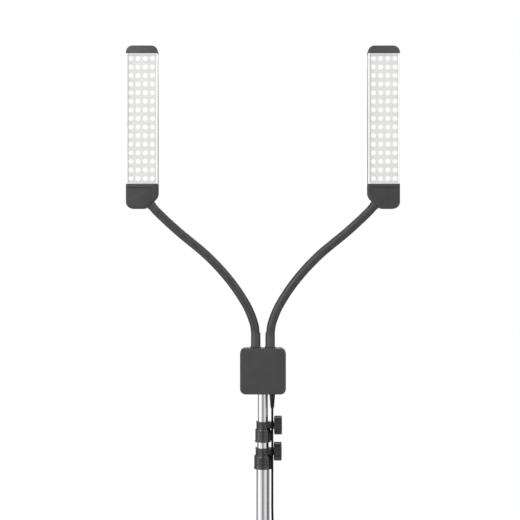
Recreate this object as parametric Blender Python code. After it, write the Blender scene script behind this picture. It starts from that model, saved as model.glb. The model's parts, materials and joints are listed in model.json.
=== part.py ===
"""Twin-head LED panel light: two panels on goosenecks, a power hub and a telescopic tripod stand.

Metres, +Z up, the lights face -Y. The floor is z = 0. Everything is drawn around the mast's axis,
and the root empty then shifts the mast in Y so that the footprint is centred on the origin.
"""
import math

import bmesh
import bpy
import numpy as np
from mathutils import Matrix, Vector

FIT = 0.0003                    # clearance between pieces that touch

# Mast: three tubes that slide into each other
ROUND = 24                      # sides of a large round piece
TOP_TUBE_R = 0.0110
MIDDLE_TUBE_R = 0.0125
LOWER_TUBE_R = 0.0140
TUBE_WALL = 0.0011
HUB_BOTTOM_Z = 0.8207
TOP_TUBE_SHOWN = 0.0592         # top tube between the hub and the upper collar
MIDDLE_TUBE_SHOWN = 0.0167      # middle tube between the two collars
LOWER_TUBE_FOOT_Z = 0.022

# Clamp collars: a narrow clamp ring on a wider sleeve
UPPER_RING_R = 0.01425
UPPER_SLEEVE_R = 0.0165
UPPER_SLEEVE_H = 0.0283
LOWER_RING_R = 0.0160
LOWER_SLEEVE_R = 0.01875
LOWER_SLEEVE_H = 0.0248
RING_H = 0.016
BOSS_R = 0.0080
BOSS_END_X = 0.0235
KNOB_SHAFT_R = 0.0036
KNOB_START_X = 0.0248
KNOB_END_X = 0.0417
KNOB_R = 0.0205
KNOB_FLUTES = 8
UPPER_KNOB_BELOW = 0.0083       # screw axis below the top of its collar
LOWER_KNOB_BELOW = 0.0035
COLLAR_WEB_X = 0.0200           # outer edge of the upright web under each boss
COLLAR_WEB_T = 0.0060
KNOB_FLUTE = 0.12               # depth of a flute as a share of the radius

# Hub
HUB_SIZE = 0.098
HUB_HEIGHT = 0.0987
HUB_CORNER_R = 0.012
HUB_DEPTH = 0.042
HUB_EDGE_R = 0.003
HUB_WALL = 0.0025
SOCKET_R = 0.017
SOCKET_H = 0.044
SOCKET_DEPTH = 0.039            # how far the top tube reaches up into the socket
LOCK_KNOB_Z = 0.846
DIMMER_X = 0.029
DIMMER_Z = 0.893
DIMMER_R = 0.009
BUTTON_R = 0.0055

# Goosenecks: the centre line of the right one, outward x and height above the hub
NECK_ROUTE = (
    (0.0155, 0.0000), (0.0162, 0.0296), (0.0204, 0.0556), (0.0369, 0.0941), (0.0717, 0.1456),
    (0.1195, 0.1976), (0.1803, 0.2486), (0.2226, 0.2876), (0.2422, 0.3091),
)
NECK_R = 0.0095
NECK_SIDES = 12
NECK_STEP = 0.022
NECK_DOME_R = 0.0093
NECK_JOINT_GAP = 0.0010         # from a joint to the end of each segment
NECK_JOINTS = (0.060, 0.150, 0.250, 0.345)   # arc lengths from the hub's top
FERRULE_R = 0.0103
FERRULE_H = 0.033
FERRULE_SUNK = 0.008
TIP_LENGTH = 0.007

# Light panels
PANEL_X = 0.2591
PANEL_BOTTOM_Z = 1.218          # underside of the bottom cap
BOTTOM_CAP_H = 0.0529
LIGHT_H = 0.280                 # housing between the two caps
TOP_CAP_H = 0.0165
CAP_WIDTH = 0.0689
CAP_DEPTH = 0.028
CAP_EDGE_R = 0.003
HOUSING_WIDTH = 0.0680
HOUSING_DEPTH = 0.024
PANEL_WALL = 0.002
BEZEL_WIDTH = 0.0034
BEZEL_THICKNESS = 0.0017
LENS_THICKNESS = 0.0018
BOARD_THICKNESS = 0.0016
LED_COLUMNS = 4
LED_ROWS = 15
LED_PITCH_X = 0.0153
LED_PITCH_Z = 0.0185
LED_SIZE = 0.005
LED_HEIGHT = 0.001

# Tripod: a sliding leg collar, three legs and three braces down to a fixed collar
LEG_AZIMUTHS = (-90.0, 30.0, 150.0)
LEG_PIVOT_R = 0.030
LEG_OPEN = math.radians(58.0)   # from vertical
BRACE_LENGTH = 0.200
BRACE_ON_LEG = 0.200            # from the leg's pivot to the brace's pivot
FOOT_CENTRE_Z = 0.007
FOOT_R = 0.011
LOWER_PIVOT_Z = 0.042
LEG_R = 0.0080
TONGUE_T = 0.006
EAR_T = 0.003
LUG_R = 0.007                   # round end of an ear, tongue or strap
PIN_R = 0.0030
STRAP_T = 0.002
WEB_FROM_LOWER = 0.056          # keeps a brace's web off the lower lug all through the fold
WEB_FROM_UPPER = 0.030
COLLAR_R = 0.020
LEG_KNOB_ABOVE = 0.032          # leg lock knob over the leg pivots

# Power lead
CORD_R = 0.00225
RELIEF_X = 0.0204
RELIEF_Y = -0.012
RELIEF_H = 0.0297
COIL_CENTRE = (0.205, -0.130)
COIL_MEAN_R = 0.0255
COIL_TURNS_WIDE = 3
COIL_TURNS_HIGH = 4
COIL_SIDES = 24
ADAPTER = (0.070, 0.044, 0.030)
CORD_ROUTE = (
    (0.0204, -0.0120, 0.7907), (0.0204, -0.0120, 0.7700), (0.0204, -0.0120, 0.7300),
    (0.0204, -0.0120, 0.6800), (0.0204, -0.0120, 0.6200), (0.0205, -0.0121, 0.5650),
    (0.0225, -0.0133, 0.5150), (0.0290, -0.0172, 0.4600), (0.0380, -0.0225, 0.3950),
    (0.0450, -0.0266, 0.3200), (0.0490, -0.0289, 0.2400), (0.0515, -0.0303, 0.1600),
    (0.0560, -0.0320, 0.0980), (0.0660, -0.0345, 0.0480), (0.0840, -0.0385, 0.0150),
    (0.1080, -0.0440, 0.0040), (0.1350, -0.0530, 0.0027), (0.1560, -0.0660, 0.0027),
    (0.1680, -0.0850, 0.0027), (0.1715, -0.1070, 0.0027), (0.1703, -0.1300, 0.0027),
)
CORD_POINTS = 64
TAIL_ROUTE = (
    (0.1765, -0.1500, 0.0110), (0.1880, -0.1640, 0.0058), (0.2020, -0.1780, 0.0028),
    (0.2170, -0.1915, 0.0027), (0.2340, -0.1990, 0.0029), (0.2490, -0.1945, 0.0042),
    (0.2545, -0.1835, 0.0058), (0.2545, -0.1755, 0.0065),
)
TAIL_POINTS = 14

# Worked out from the sizes above
HUB_TOP_Z = HUB_BOTTOM_Z + HUB_HEIGHT
UPPER_COLLAR_TOP = HUB_BOTTOM_Z - TOP_TUBE_SHOWN
UPPER_COLLAR_BOTTOM = UPPER_COLLAR_TOP - RING_H - UPPER_SLEEVE_H
LOWER_COLLAR_TOP = UPPER_COLLAR_BOTTOM - MIDDLE_TUBE_SHOWN
LOWER_COLLAR_BOTTOM = LOWER_COLLAR_TOP - RING_H - LOWER_SLEEVE_H
LEG_PIVOT_Z = LOWER_PIVOT_Z + 2.0 * BRACE_LENGTH * math.cos(LEG_OPEN)
LEG_LENGTH = (LEG_PIVOT_Z - FOOT_CENTRE_Z) / math.cos(LEG_OPEN)
FOOT_REACH = LEG_PIVOT_R + LEG_LENGTH * math.sin(LEG_OPEN)
MAST_Y = FOOT_REACH / 4.0       # two legs reach half as far back as the third reaches forward


# ---------------------------------------------------------------- scene and materials

def clear_scene():
    for item in list(bpy.data.objects):
        bpy.data.objects.remove(item, do_unlink=True)


def make_material(name, colour, roughness, metallic=0.0):
    mat = bpy.data.materials.new(name)
    mat.use_nodes = True
    shader = mat.node_tree.nodes["Principled BSDF"]
    shader.inputs["Base Color"].default_value = (*colour, 1.0)
    shader.inputs["Roughness"].default_value = roughness
    shader.inputs["Metallic"].default_value = metallic
    mat.diffuse_color = (*colour, 1.0)
    return mat


def attach(item, origin, parent):
    """Link an object with its origin at a point of the mast's frame."""
    bpy.context.collection.objects.link(item)
    item["origin"] = tuple(origin)
    item.parent = parent
    base = Vector(parent["origin"]) if parent else Vector()
    item.location = Vector(origin) - base
    return item


def pivot(name, origin, parent):
    return attach(bpy.data.objects.new(name, None), origin, parent)


def piece(name, bm, mat, parent, origin=None):
    """Turn a bmesh drawn in the mast's frame into a named object."""
    origin = Vector(origin if origin is not None else parent["origin"])
    bmesh.ops.translate(bm, verts=bm.verts, vec=-origin)
    bmesh.ops.recalc_face_normals(bm, faces=bm.faces)
    mesh = bpy.data.meshes.new(name)
    bm.to_mesh(mesh)
    bm.free()
    mesh.shade_smooth()
    mesh.set_sharp_from_angle(angle=math.radians(35.0))
    mesh.materials.append(mat)
    return attach(bpy.data.objects.new(name, mesh), origin, parent)


# ---------------------------------------------------------------- shape helpers

def loft(rings, loop=False):
    """A closed skin over rings of equal count, capped at both ends or joined into a loop."""
    bm = bmesh.new()
    rows = [[bm.verts.new(point) for point in ring] for ring in rings]
    count = len(rows[0])
    pairs = list(zip(rows, rows[1:]))
    if loop:
        pairs.append((rows[-1], rows[0]))
    else:
        bm.faces.new(rows[0])
        bm.faces.new(rows[-1])
    for lower, upper in pairs:
        for i in range(count):
            j = (i + 1) % count
            bm.faces.new((lower[i], lower[j], upper[j], upper[i]))
    bmesh.ops.recalc_face_normals(bm, faces=bm.faces)
    return bm


def circle(radius, height, sides, centre=(0.0, 0.0), axis="Z"):
    """Points round an axis; centre is given in the other two coordinates, in order."""
    points = []
    for i in range(sides):
        angle = 2.0 * math.pi * i / sides
        a = centre[0] + radius * math.cos(angle)
        b = centre[1] + radius * math.sin(angle)
        points.append({"X": (height, a, b), "Y": (a, height, b), "Z": (a, b, height)}[axis])
    return points


def turned(profile, sides=ROUND, centre=(0.0, 0.0), axis="Z", loop=False):
    """A profile of (radius, height) points turned round an axis."""
    return loft([circle(r, h, sides, centre, axis) for r, h in profile], loop)


def rounded(corners, steps=4):
    """An outline from (x, y, radius) corners, each round one drawn as an arc."""
    outline = []
    for i, (x, y, radius) in enumerate(corners):
        here = Vector((x, y))
        before = (Vector(corners[i - 1][:2]) - here).normalized()
        after = (Vector(corners[(i + 1) % len(corners)][:2]) - here).normalized()
        if radius <= 0.0:
            outline.append((x, y))
            continue
        half = before.angle(after) / 2.0
        centre = here + (before + after).normalized() * radius / math.sin(half)
        start = here + before * radius / math.tan(half) - centre
        sweep = start.angle_signed(here + after * radius / math.tan(half) - centre)
        for k in range(steps + 1):
            turn = Matrix.Rotation(-sweep * k / steps, 2)
            outline.append(tuple(centre + turn @ start))
    return outline


def rectangle(width, height, radius, centre=(0.0, 0.0), steps=4):
    x, y = width / 2.0, height / 2.0
    corners = [(-x, -y), (x, -y), (x, y), (-x, y)]
    return rounded([(centre[0] + a, centre[1] + b, radius) for a, b in corners], steps)


def upright(outline, y):
    """Lift a flat outline of (x, z) points to the plane at y."""
    return [(x, y, z) for x, z in outline]


def prism(outline, y0, y1):
    return loft([upright(outline, y0), upright(outline, y1)])


def box(low, high):
    x0, y0, z0 = low
    x1, y1, z1 = high
    return loft([[(x0, y0, z), (x1, y0, z), (x1, y1, z), (x0, y1, z)] for z in (z0, z1)])


def combine(base, tool, operation="UNION"):
    """Boolean of two bmeshes, which are both used up."""
    items = []
    for source in (base, tool):
        mesh = bpy.data.meshes.new("temporary")
        source.to_mesh(mesh)
        source.free()
        item = bpy.data.objects.new("temporary", mesh)
        bpy.context.collection.objects.link(item)
        items.append(item)
    modifier = items[0].modifiers.new("combine", "BOOLEAN")
    modifier.object = items[1]
    modifier.operation = operation
    modifier.solver = "EXACT"
    result = bmesh.new()
    result.from_object(items[0], bpy.context.evaluated_depsgraph_get())
    for item in items:
        mesh = item.data
        bpy.data.objects.remove(item, do_unlink=True)
        bpy.data.meshes.remove(mesh)
    bmesh.ops.remove_doubles(result, verts=result.verts, dist=1e-6)
    return result


def cut(base, *tools):
    for tool in tools:
        base = combine(base, tool, "DIFFERENCE")
    return base


def rod(radius, start, end, centre=(0.0, 0.0), axis="Z", sides=16):
    return turned(((radius, start), (radius, end)), sides, centre, axis)


def spun_about(bm, azimuth):
    """Turn a shape drawn towards +X round the mast's axis."""
    turn = Matrix.Rotation(math.radians(azimuth), 4, "Z")
    bmesh.ops.transform(bm, matrix=turn, verts=bm.verts)
    return bm


# ---------------------------------------------------------------- mast

def tube(radius, bottom, top):
    inner = radius - TUBE_WALL
    return turned(((radius, bottom), (radius, top), (inner, top), (inner, bottom)), loop=True)


def clamp_collar(top, ring_r, sleeve_r, sleeve_h, ring_bore, sleeve_bore, boss_z):
    """A sleeve fixed on the outer tube, with a clamp ring round the inner one and a screw boss."""
    step = top - RING_H
    bottom = step - sleeve_h
    profile = (
        (ring_bore, top), (ring_r + 0.0004, top), (ring_r + 0.0004, top - 0.002),
        (ring_r, top - 0.003), (ring_r, step), (sleeve_r, step - 0.001),
        (sleeve_r, bottom + 0.004), (sleeve_r + 0.0006, bottom), (sleeve_bore, bottom),
        (sleeve_bore, step - 0.002), (ring_bore, step - 0.002),
    )
    body = turned(profile, loop=True)
    boss = rod(BOSS_R, (ring_bore + ring_r) / 2.0 + 0.0004, BOSS_END_X, (0.0, boss_z), "X", 16)
    thread = rod(KNOB_SHAFT_R + 0.0004, ring_r + 0.002, BOSS_END_X + 0.01, (0.0, boss_z), "X")
    web = box((sleeve_r - 0.0015, -COLLAR_WEB_T / 2.0, bottom + 0.003),
              (COLLAR_WEB_X, COLLAR_WEB_T / 2.0, step - 0.003))
    return cut(combine(combine(body, boss), web), thread)


def fluted_outline(radius, flutes, centre):
    """A circle with shallow flutes, four points to each flute."""
    outline = []
    for i in range(4 * flutes):
        angle = 2.0 * math.pi * i / (4 * flutes)
        r = radius * (1.0 - 0.5 * KNOB_FLUTE * (1.0 - math.cos(flutes * angle)))
        outline.append((centre[0] + r * math.cos(angle), centre[1] + r * math.sin(angle)))
    return outline


def clamp_knob(shaft_start, centre_z):
    """A fluted clamp knob on an X axis: threaded shaft, conical back and a wide grip."""
    shaft = rod(KNOB_SHAFT_R, shaft_start, KNOB_START_X + 0.003, (0.0, centre_z), "X")
    rings = []
    for x, share in ((KNOB_START_X, 0.88), (KNOB_START_X + 0.0018, 1.0),
                     (KNOB_END_X - 0.0015, 1.0), (KNOB_END_X, 0.92)):
        outline = fluted_outline(KNOB_R * share, KNOB_FLUTES, (0.0, centre_z))
        rings.append([(x, y, z) for y, z in outline])
    return combine(loft(rings), shaft)


def build_mast(base, middle, top, chrome, plastic, knob_plastic):
    upper_step = UPPER_COLLAR_TOP - RING_H
    lower_step = LOWER_COLLAR_TOP - RING_H
    socket_top = HUB_BOTTOM_Z + SOCKET_DEPTH
    piece("top_tube", tube(TOP_TUBE_R, 0.070, socket_top), chrome, top)
    piece("middle_tube", tube(MIDDLE_TUBE_R, 0.050, upper_step - 0.0025), chrome, middle)
    piece("lower_tube", tube(LOWER_TUBE_R, LOWER_TUBE_FOOT_Z, lower_step - 0.0025), chrome, base)

    upper_knob_z = UPPER_COLLAR_TOP - UPPER_KNOB_BELOW
    lower_knob_z = LOWER_COLLAR_TOP - LOWER_KNOB_BELOW
    piece("upper_collar", clamp_collar(
        UPPER_COLLAR_TOP, UPPER_RING_R, UPPER_SLEEVE_R, UPPER_SLEEVE_H,
        TOP_TUBE_R + FIT, MIDDLE_TUBE_R + FIT, upper_knob_z), plastic, middle)
    piece("lower_collar", clamp_collar(
        LOWER_COLLAR_TOP, LOWER_RING_R, LOWER_SLEEVE_R, LOWER_SLEEVE_H,
        MIDDLE_TUBE_R + FIT, LOWER_TUBE_R + FIT, lower_knob_z), plastic, base)
    for name, ring_r, z, parent in (("upper_knob", UPPER_RING_R, upper_knob_z, middle),
                                    ("lower_knob", LOWER_RING_R, lower_knob_z, base)):
        axis = pivot(name + "_axis", (0.0, 0.0, z), parent)
        piece(name, clamp_knob(ring_r + 0.0024, z), knob_plastic, axis)


# ---------------------------------------------------------------- hub

def tray(outline_at, depth_open, depth_closed, edge_r, wall):
    """A hollow shell, open at one plane and closed with a rounded edge at the other.

    outline_at(inset) gives the outline at a plane, drawn in by the inset.
    """
    side = 1.0 if depth_closed > depth_open else -1.0
    rings = [upright(outline_at(0.0), depth_open)]
    for angle in (0.0, 30.0, 60.0, 90.0):
        turn = math.radians(angle)
        inset = edge_r * (1.0 - math.cos(turn))
        y = depth_closed - side * edge_r * (1.0 - math.sin(turn))
        rings.append(upright(outline_at(inset), y))
    inner = [upright(outline_at(wall), depth_open),
             upright(outline_at(wall), depth_closed - side * wall)]
    return loft([inner[1], inner[0]] + rings)


def hub_outline(inset):
    return rectangle(HUB_SIZE - 2.0 * inset, HUB_HEIGHT - 2.0 * inset, HUB_CORNER_R - inset,
                     (0.0, HUB_BOTTOM_Z + HUB_HEIGHT / 2.0))


def hub_holes():
    """Cutters for the two goosenecks, the mast and the lead."""
    holes = [rod(FERRULE_R + FIT, HUB_TOP_Z - 0.02, HUB_TOP_Z + 0.02,
                 (side * NECK_ROUTE[0][0], 0.0), sides=20) for side in (-1.0, 1.0)]
    holes.append(rod(TOP_TUBE_R + 0.0008, HUB_BOTTOM_Z - 0.01, HUB_BOTTOM_Z + 0.01,
                     sides=ROUND))
    return holes


def knurled(radius, length, shaft_r, shaft_start, knob_start, centre, flutes):
    """A fluted knob on a Y axis with its shaft towards -Y."""
    shaft = rod(shaft_r, shaft_start, knob_start + 0.002, centre, "Y")
    outline = fluted_outline(radius, flutes, centre)
    return combine(shaft, prism(outline, knob_start, knob_start + length))


def build_hub(hub, plastic, knob_plastic, green, metal):
    half = HUB_DEPTH / 2.0
    front = tray(hub_outline, -FIT / 2.0, -half, HUB_EDGE_R, HUB_WALL)
    relief_hole = rod(0.0043, HUB_BOTTOM_Z - 0.01, HUB_BOTTOM_Z + 0.01, (RELIEF_X, RELIEF_Y))
    piece("hub_front_shell", cut(front, *hub_holes(), relief_hole), plastic, hub)

    rear = tray(hub_outline, FIT / 2.0, half, HUB_EDGE_R, HUB_WALL)
    controls = [rod(0.0034, half - 0.01, half + 0.01, (side * DIMMER_X, DIMMER_Z), "Y")
                for side in (-1.0, 1.0)]
    controls.append(rod(BUTTON_R + 0.0004, half - 0.01, half + 0.01, (0.0, DIMMER_Z), "Y"))
    controls.append(rod(0.0044, half - 0.01, half + 0.01, (0.0, LOCK_KNOB_Z), "Y"))
    piece("hub_rear_cover", cut(rear, *hub_holes(), *controls), plastic, hub)

    floor = HUB_BOTTOM_Z + HUB_WALL + FIT
    socket = turned(((SOCKET_R, floor), (SOCKET_R, floor + SOCKET_H), (0.004, floor + SOCKET_H),
                     (0.004, HUB_BOTTOM_Z + SOCKET_DEPTH + 0.002),
                     (TOP_TUBE_R + FIT, HUB_BOTTOM_Z + SOCKET_DEPTH + 0.001),
                     (TOP_TUBE_R + FIT, floor)), loop=True)
    screw_hole = rod(0.0044, TOP_TUBE_R + 0.002, SOCKET_R + 0.01, (0.0, LOCK_KNOB_Z), "Y")
    piece("stand_socket", cut(socket, screw_hole), metal, hub)

    board = box((-0.040, 0.0085, 0.8700), (0.040, 0.0100, 0.9080))
    for x, z, size, height in ((-0.018, 0.884, 0.012, 0.009), (0.002, 0.884, 0.010, 0.007),
                               (0.022, 0.884, 0.014, 0.006)):
        part = box((x - size / 2.0, 0.0095 - height, z - 0.006), (x + size / 2.0, 0.0090, z + 0.006))
        board = combine(board, part)
    piece("driver_board", board, green, hub)

    lock = pivot("lock_axis", (0.0, 0.0, LOCK_KNOB_Z), hub)
    piece("lock_knob", knurled(0.0125, 0.014, 0.0040, TOP_TUBE_R + 0.003, half + 0.002,
                               (0.0, LOCK_KNOB_Z), 6), knob_plastic, lock)
    for label, side in (("left", -1.0), ("right", 1.0)):
        centre = (side * DIMMER_X, DIMMER_Z)
        axis = pivot(label + "_dimmer_axis", (centre[0], 0.0, centre[1]), hub)
        knob = knurled(DIMMER_R, 0.011, 0.0030, 0.0112, half + 0.0008, centre, 10)
        piece(label + "_dimmer_knob", knob, knob_plastic, axis)
    button = turned(((0.0072, half - 0.0065), (0.0072, half - 0.0050), (BUTTON_R, half - 0.0050),
                     (BUTTON_R, half + 0.0020), (BUTTON_R - 0.0008, half + 0.0026)),
                    20, (0.0, DIMMER_Z), "Y")
    slide = pivot("power_button_slide", (0.0, 0.0, DIMMER_Z), hub)
    piece("power_button", button, knob_plastic, slide)


# ---------------------------------------------------------------- goosenecks

def smooth_route(points, samples):
    """Catmull-Rom curve through the points, sampled densely."""
    points = np.array(points, dtype=float)
    padded = np.vstack([2 * points[0] - points[1], points, 2 * points[-1] - points[-2]])
    out = []
    for i in range(1, len(padded) - 2):
        a, b, c, d = padded[i - 1:i + 3]
        for t in np.linspace(0.0, 1.0, samples, endpoint=False):
            out.append(0.5 * (2 * b + (c - a) * t + (2 * a - 5 * b + 4 * c - d) * t ** 2
                              + (3 * b - a - 3 * c + d) * t ** 3))
    out.append(points[-1])
    return np.array(out)


def arc_lengths(points):
    return np.concatenate([[0.0], np.cumsum(np.linalg.norm(np.diff(points, axis=0), axis=1))])


def at_length(points, lengths, wanted):
    return np.array([np.interp(wanted, lengths, points[:, k]) for k in range(points.shape[1])]).T


NECK_CURVE = smooth_route(NECK_ROUTE, 24)
NECK_LENGTHS = arc_lengths(NECK_CURVE)
NECK_LENGTH = float(NECK_LENGTHS[-1])


def neck_frame(side, s):
    """Centre and direction of a gooseneck at an arc length from the hub's top."""
    ahead = at_length(NECK_CURVE, NECK_LENGTHS, min(s + 0.002, NECK_LENGTH))
    behind = at_length(NECK_CURVE, NECK_LENGTHS, max(s - 0.002, 0.0))
    x, z = at_length(NECK_CURVE, NECK_LENGTHS, s)
    direction = Vector((side * (ahead[0] - behind[0]), 0.0, ahead[1] - behind[1])).normalized()
    return Vector((side * x, 0.0, HUB_TOP_Z + z)), direction


def neck_ring(side, s, radius):
    centre, direction = neck_frame(side, s)
    across = Vector((0.0, 1.0, 0.0)).cross(direction)
    ring = []
    for i in range(NECK_SIDES):
        angle = 2.0 * math.pi * i / NECK_SIDES
        ring.append(centre + radius * (math.cos(angle) * across
                                       + math.sin(angle) * Vector((0.0, 1.0, 0.0))))
    return ring


def neck_segment(side, start, end, dome_start, dome_end):
    """A stretch of gooseneck; a domed end lets it turn against the next stretch."""
    stations = []
    if dome_start:
        middle = start + NECK_DOME_R
        for angle in (72.0, 36.0):
            turn = math.radians(angle)
            stations.append((middle - NECK_DOME_R * math.sin(turn), NECK_DOME_R * math.cos(turn)))
        start = middle
    last = end - NECK_DOME_R if dome_end else end
    steps = max(1, round((last - start) / NECK_STEP))
    stations += [(start + (last - start) * i / steps, NECK_R) for i in range(steps + 1)]
    if dome_end:
        for angle in (36.0, 72.0):
            turn = math.radians(angle)
            stations.append((last + NECK_DOME_R * math.sin(turn), NECK_DOME_R * math.cos(turn)))
    return loft([neck_ring(side, s, radius) for s, radius in stations])


def build_neck(label, side, hub, sleeve, metal):
    """One gooseneck as five stretches with a hinge between each two; returns the head's body."""
    x = side * NECK_ROUTE[0][0]
    bottom = HUB_TOP_Z - FERRULE_SUNK
    ferrule = turned(((0.0125, bottom), (0.0125, bottom + 0.003), (FERRULE_R, bottom + 0.003),
                      (FERRULE_R, HUB_TOP_Z + FERRULE_H - 0.001),
                      (FERRULE_R - 0.001, HUB_TOP_Z + FERRULE_H)), 20, (x, 0.0))
    piece(label + "_neck_ferrule", ferrule, metal, hub)

    tip = NECK_LENGTH - TIP_LENGTH
    limits = [FERRULE_H + 0.0015, *NECK_JOINTS, tip - FIT]
    body = hub
    for i, (start, end) in enumerate(zip(limits, limits[1:])):
        first, last = i == 0, i == len(limits) - 2
        if not first:
            centre, _ = neck_frame(side, start)
            body = pivot(f"{label}_neck_joint_{i}", centre, body)
        segment = neck_segment(side, start if first else start + NECK_JOINT_GAP,
                               end if last else end - NECK_JOINT_GAP, not first, not last)
        piece(f"{label}_neck_{i + 1}", segment, sleeve, body)
    rings = [neck_ring(side, tip, FERRULE_R), neck_ring(side, NECK_LENGTH - 0.0015, FERRULE_R)]
    piece(label + "_neck_tip", loft(rings), metal, body)
    return body


# ---------------------------------------------------------------- light panels

LIGHT_BOTTOM_Z = PANEL_BOTTOM_Z + BOTTOM_CAP_H
LIGHT_TOP_Z = LIGHT_BOTTOM_Z + LIGHT_H
HOUSING_FRONT_Y = -HOUSING_DEPTH / 2.0
SEAT_Y = HOUSING_FRONT_Y + BEZEL_THICKNESS + FIT          # front edge of the housing's walls
LENS_BACK_Y = SEAT_Y + FIT + LENS_THICKNESS
LEDGE_W = 0.0015
LEDGE_T = 0.0012
SLOT_BACK_Y = LENS_BACK_Y + FIT + LEDGE_T                 # front of the circuit board's slot
BOARD_FRONT_Y = SLOT_BACK_Y + FIT
BOARD_BACK_Y = BOARD_FRONT_Y + BOARD_THICKNESS
SHEET_WIDTH = HOUSING_WIDTH - 2.0 * (PANEL_WALL + FIT)


def mirrored(outline, side):
    """Outline points of the right-hand panel, moved to a side of the mast."""
    return [(side * (PANEL_X + u), v) for u, v in outline]


def housing(side):
    """An extruded tray whose side walls carry ledges for the lens and the circuit board."""
    outer = HOUSING_WIDTH / 2.0
    wall = outer - PANEL_WALL
    ledge = wall - LEDGE_W
    half = [
        (outer, SEAT_Y, 0.0), (wall, SEAT_Y, 0.0), (wall, LENS_BACK_Y + FIT, 0.0),
        (ledge, LENS_BACK_Y + FIT, 0.0), (ledge, SLOT_BACK_Y, 0.0), (wall, SLOT_BACK_Y, 0.0),
        (wall, BOARD_BACK_Y + FIT, 0.0), (ledge, BOARD_BACK_Y + FIT, 0.0),
        (ledge, BOARD_BACK_Y + FIT + LEDGE_T, 0.0), (wall, BOARD_BACK_Y + FIT + LEDGE_T, 0.0),
        (wall, -HOUSING_FRONT_Y - PANEL_WALL, 0.0),
    ]
    corners = [(-u, v, r) for u, v, r in half] + half[::-1]
    corners += [(outer, -HOUSING_FRONT_Y, 0.004), (-outer, -HOUSING_FRONT_Y, 0.004)]
    outline = mirrored(rounded(corners, 3), side)
    return loft([[(x, y, z) for x, y in outline]
                 for z in (LIGHT_BOTTOM_Z + FIT, LIGHT_TOP_Z - FIT)])


def bezel(side):
    """A flat frame round the light window."""
    height = LIGHT_H - 2.0 * FIT
    middle = (0.0, (LIGHT_BOTTOM_Z + LIGHT_TOP_Z) / 2.0)
    outer = mirrored(rectangle(HOUSING_WIDTH, height, 0.0, middle), side)
    inner = mirrored(rectangle(HOUSING_WIDTH - 2.0 * BEZEL_WIDTH, height - 0.004, 0.0, middle), side)
    front, back = HOUSING_FRONT_Y, HOUSING_FRONT_Y + BEZEL_THICKNESS
    return loft([upright(outer, front), upright(outer, back), upright(inner, back),
                 upright(inner, front)], loop=True)


def led_board(side):
    """A circuit board whose front face is raised at each light-emitting diode."""
    half_w = SHEET_WIDTH / 2.0
    bottom, top = LIGHT_BOTTOM_Z + 2.0 * FIT, LIGHT_TOP_Z - 2.0 * FIT
    middle = (bottom + top) / 2.0

    def stations(count, pitch, low, high):
        marks = [low]
        for i in range(count):
            centre = (low + high) / 2.0 + (i - (count - 1) / 2.0) * pitch
            marks += [centre - LED_SIZE / 2.0, centre + LED_SIZE / 2.0]
        return marks + [high]

    us = stations(LED_COLUMNS, LED_PITCH_X, -half_w, half_w)
    zs = stations(LED_ROWS, LED_PITCH_Z, bottom, top)
    bm = bmesh.new()
    grid = [[bm.verts.new((side * (PANEL_X + u), BOARD_FRONT_Y, z)) for u in us] for z in zs]
    emitters = []
    for j in range(len(zs) - 1):
        for i in range(len(us) - 1):
            face = bm.faces.new((grid[j][i], grid[j][i + 1], grid[j + 1][i + 1], grid[j + 1][i]))
            if i % 2 == 1 and j % 2 == 1:
                emitters.append(face)
    rim = [grid[0][i] for i in range(len(us))]
    rim += [grid[j][-1] for j in range(1, len(zs))]
    rim += [grid[-1][i] for i in range(len(us) - 2, -1, -1)]
    rim += [grid[j][0] for j in range(len(zs) - 2, 0, -1)]
    back = [bm.verts.new((v.co.x, BOARD_BACK_Y, v.co.z)) for v in rim]
    bm.faces.new(back)
    for i in range(len(rim)):
        j = (i + 1) % len(rim)
        bm.faces.new((rim[i], rim[j], back[j], back[i]))
    raised = bmesh.ops.extrude_discrete_faces(bm, faces=emitters)["faces"]
    for face in raised:
        bmesh.ops.translate(bm, verts=face.verts, vec=(0.0, -LED_HEIGHT, 0.0))
    return bm


def cap(outline_at, side):
    """An end cap: rounded front and back edges, drawn from an outline that takes an inset."""
    half = CAP_DEPTH / 2.0
    rings = []
    for y_side in (-1.0, 1.0):
        stack = []
        for angle in (90.0, 45.0, 0.0):
            turn = math.radians(angle)
            inset = CAP_EDGE_R * (1.0 - math.cos(turn))
            y = y_side * (half - CAP_EDGE_R * (1.0 - math.sin(turn)))
            stack.append(upright(mirrored(outline_at(inset), side), y))
        rings += stack if y_side < 0.0 else stack[::-1]
    return loft(rings)


def top_cap_outline(inset):
    half = CAP_WIDTH / 2.0 - inset
    bottom, top = LIGHT_TOP_Z + inset, LIGHT_TOP_Z + TOP_CAP_H - inset
    radius = 0.0145 - inset
    return rounded([(-half, bottom, 0.0), (half, bottom, 0.0), (half, top, radius),
                    (-half, top, radius)], 5)


def bottom_cap_outline(inset):
    """The inner lower corner is cut away square to the gooseneck that enters it."""
    half = CAP_WIDTH / 2.0 - inset
    bottom, top = PANEL_BOTTOM_Z + inset, LIGHT_BOTTOM_Z - inset
    centre, direction = neck_frame(1.0, NECK_LENGTH)
    across = Vector((direction.z, 0.0, -direction.x))      # down and outward along the cut
    point = centre + direction * (inset - 0.0012)
    to_side = (-half - (point.x - PANEL_X)) / across.x
    to_bottom = (bottom - point.z) / across.z
    return rounded([
        (-half, point.z + across.z * to_side, 0.022),
        (point.x - PANEL_X + across.x * to_bottom, bottom, 0.012),
        (half, bottom, 0.0145 - inset), (half, top, 0.0), (-half, top, 0.0)], 5)


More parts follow.
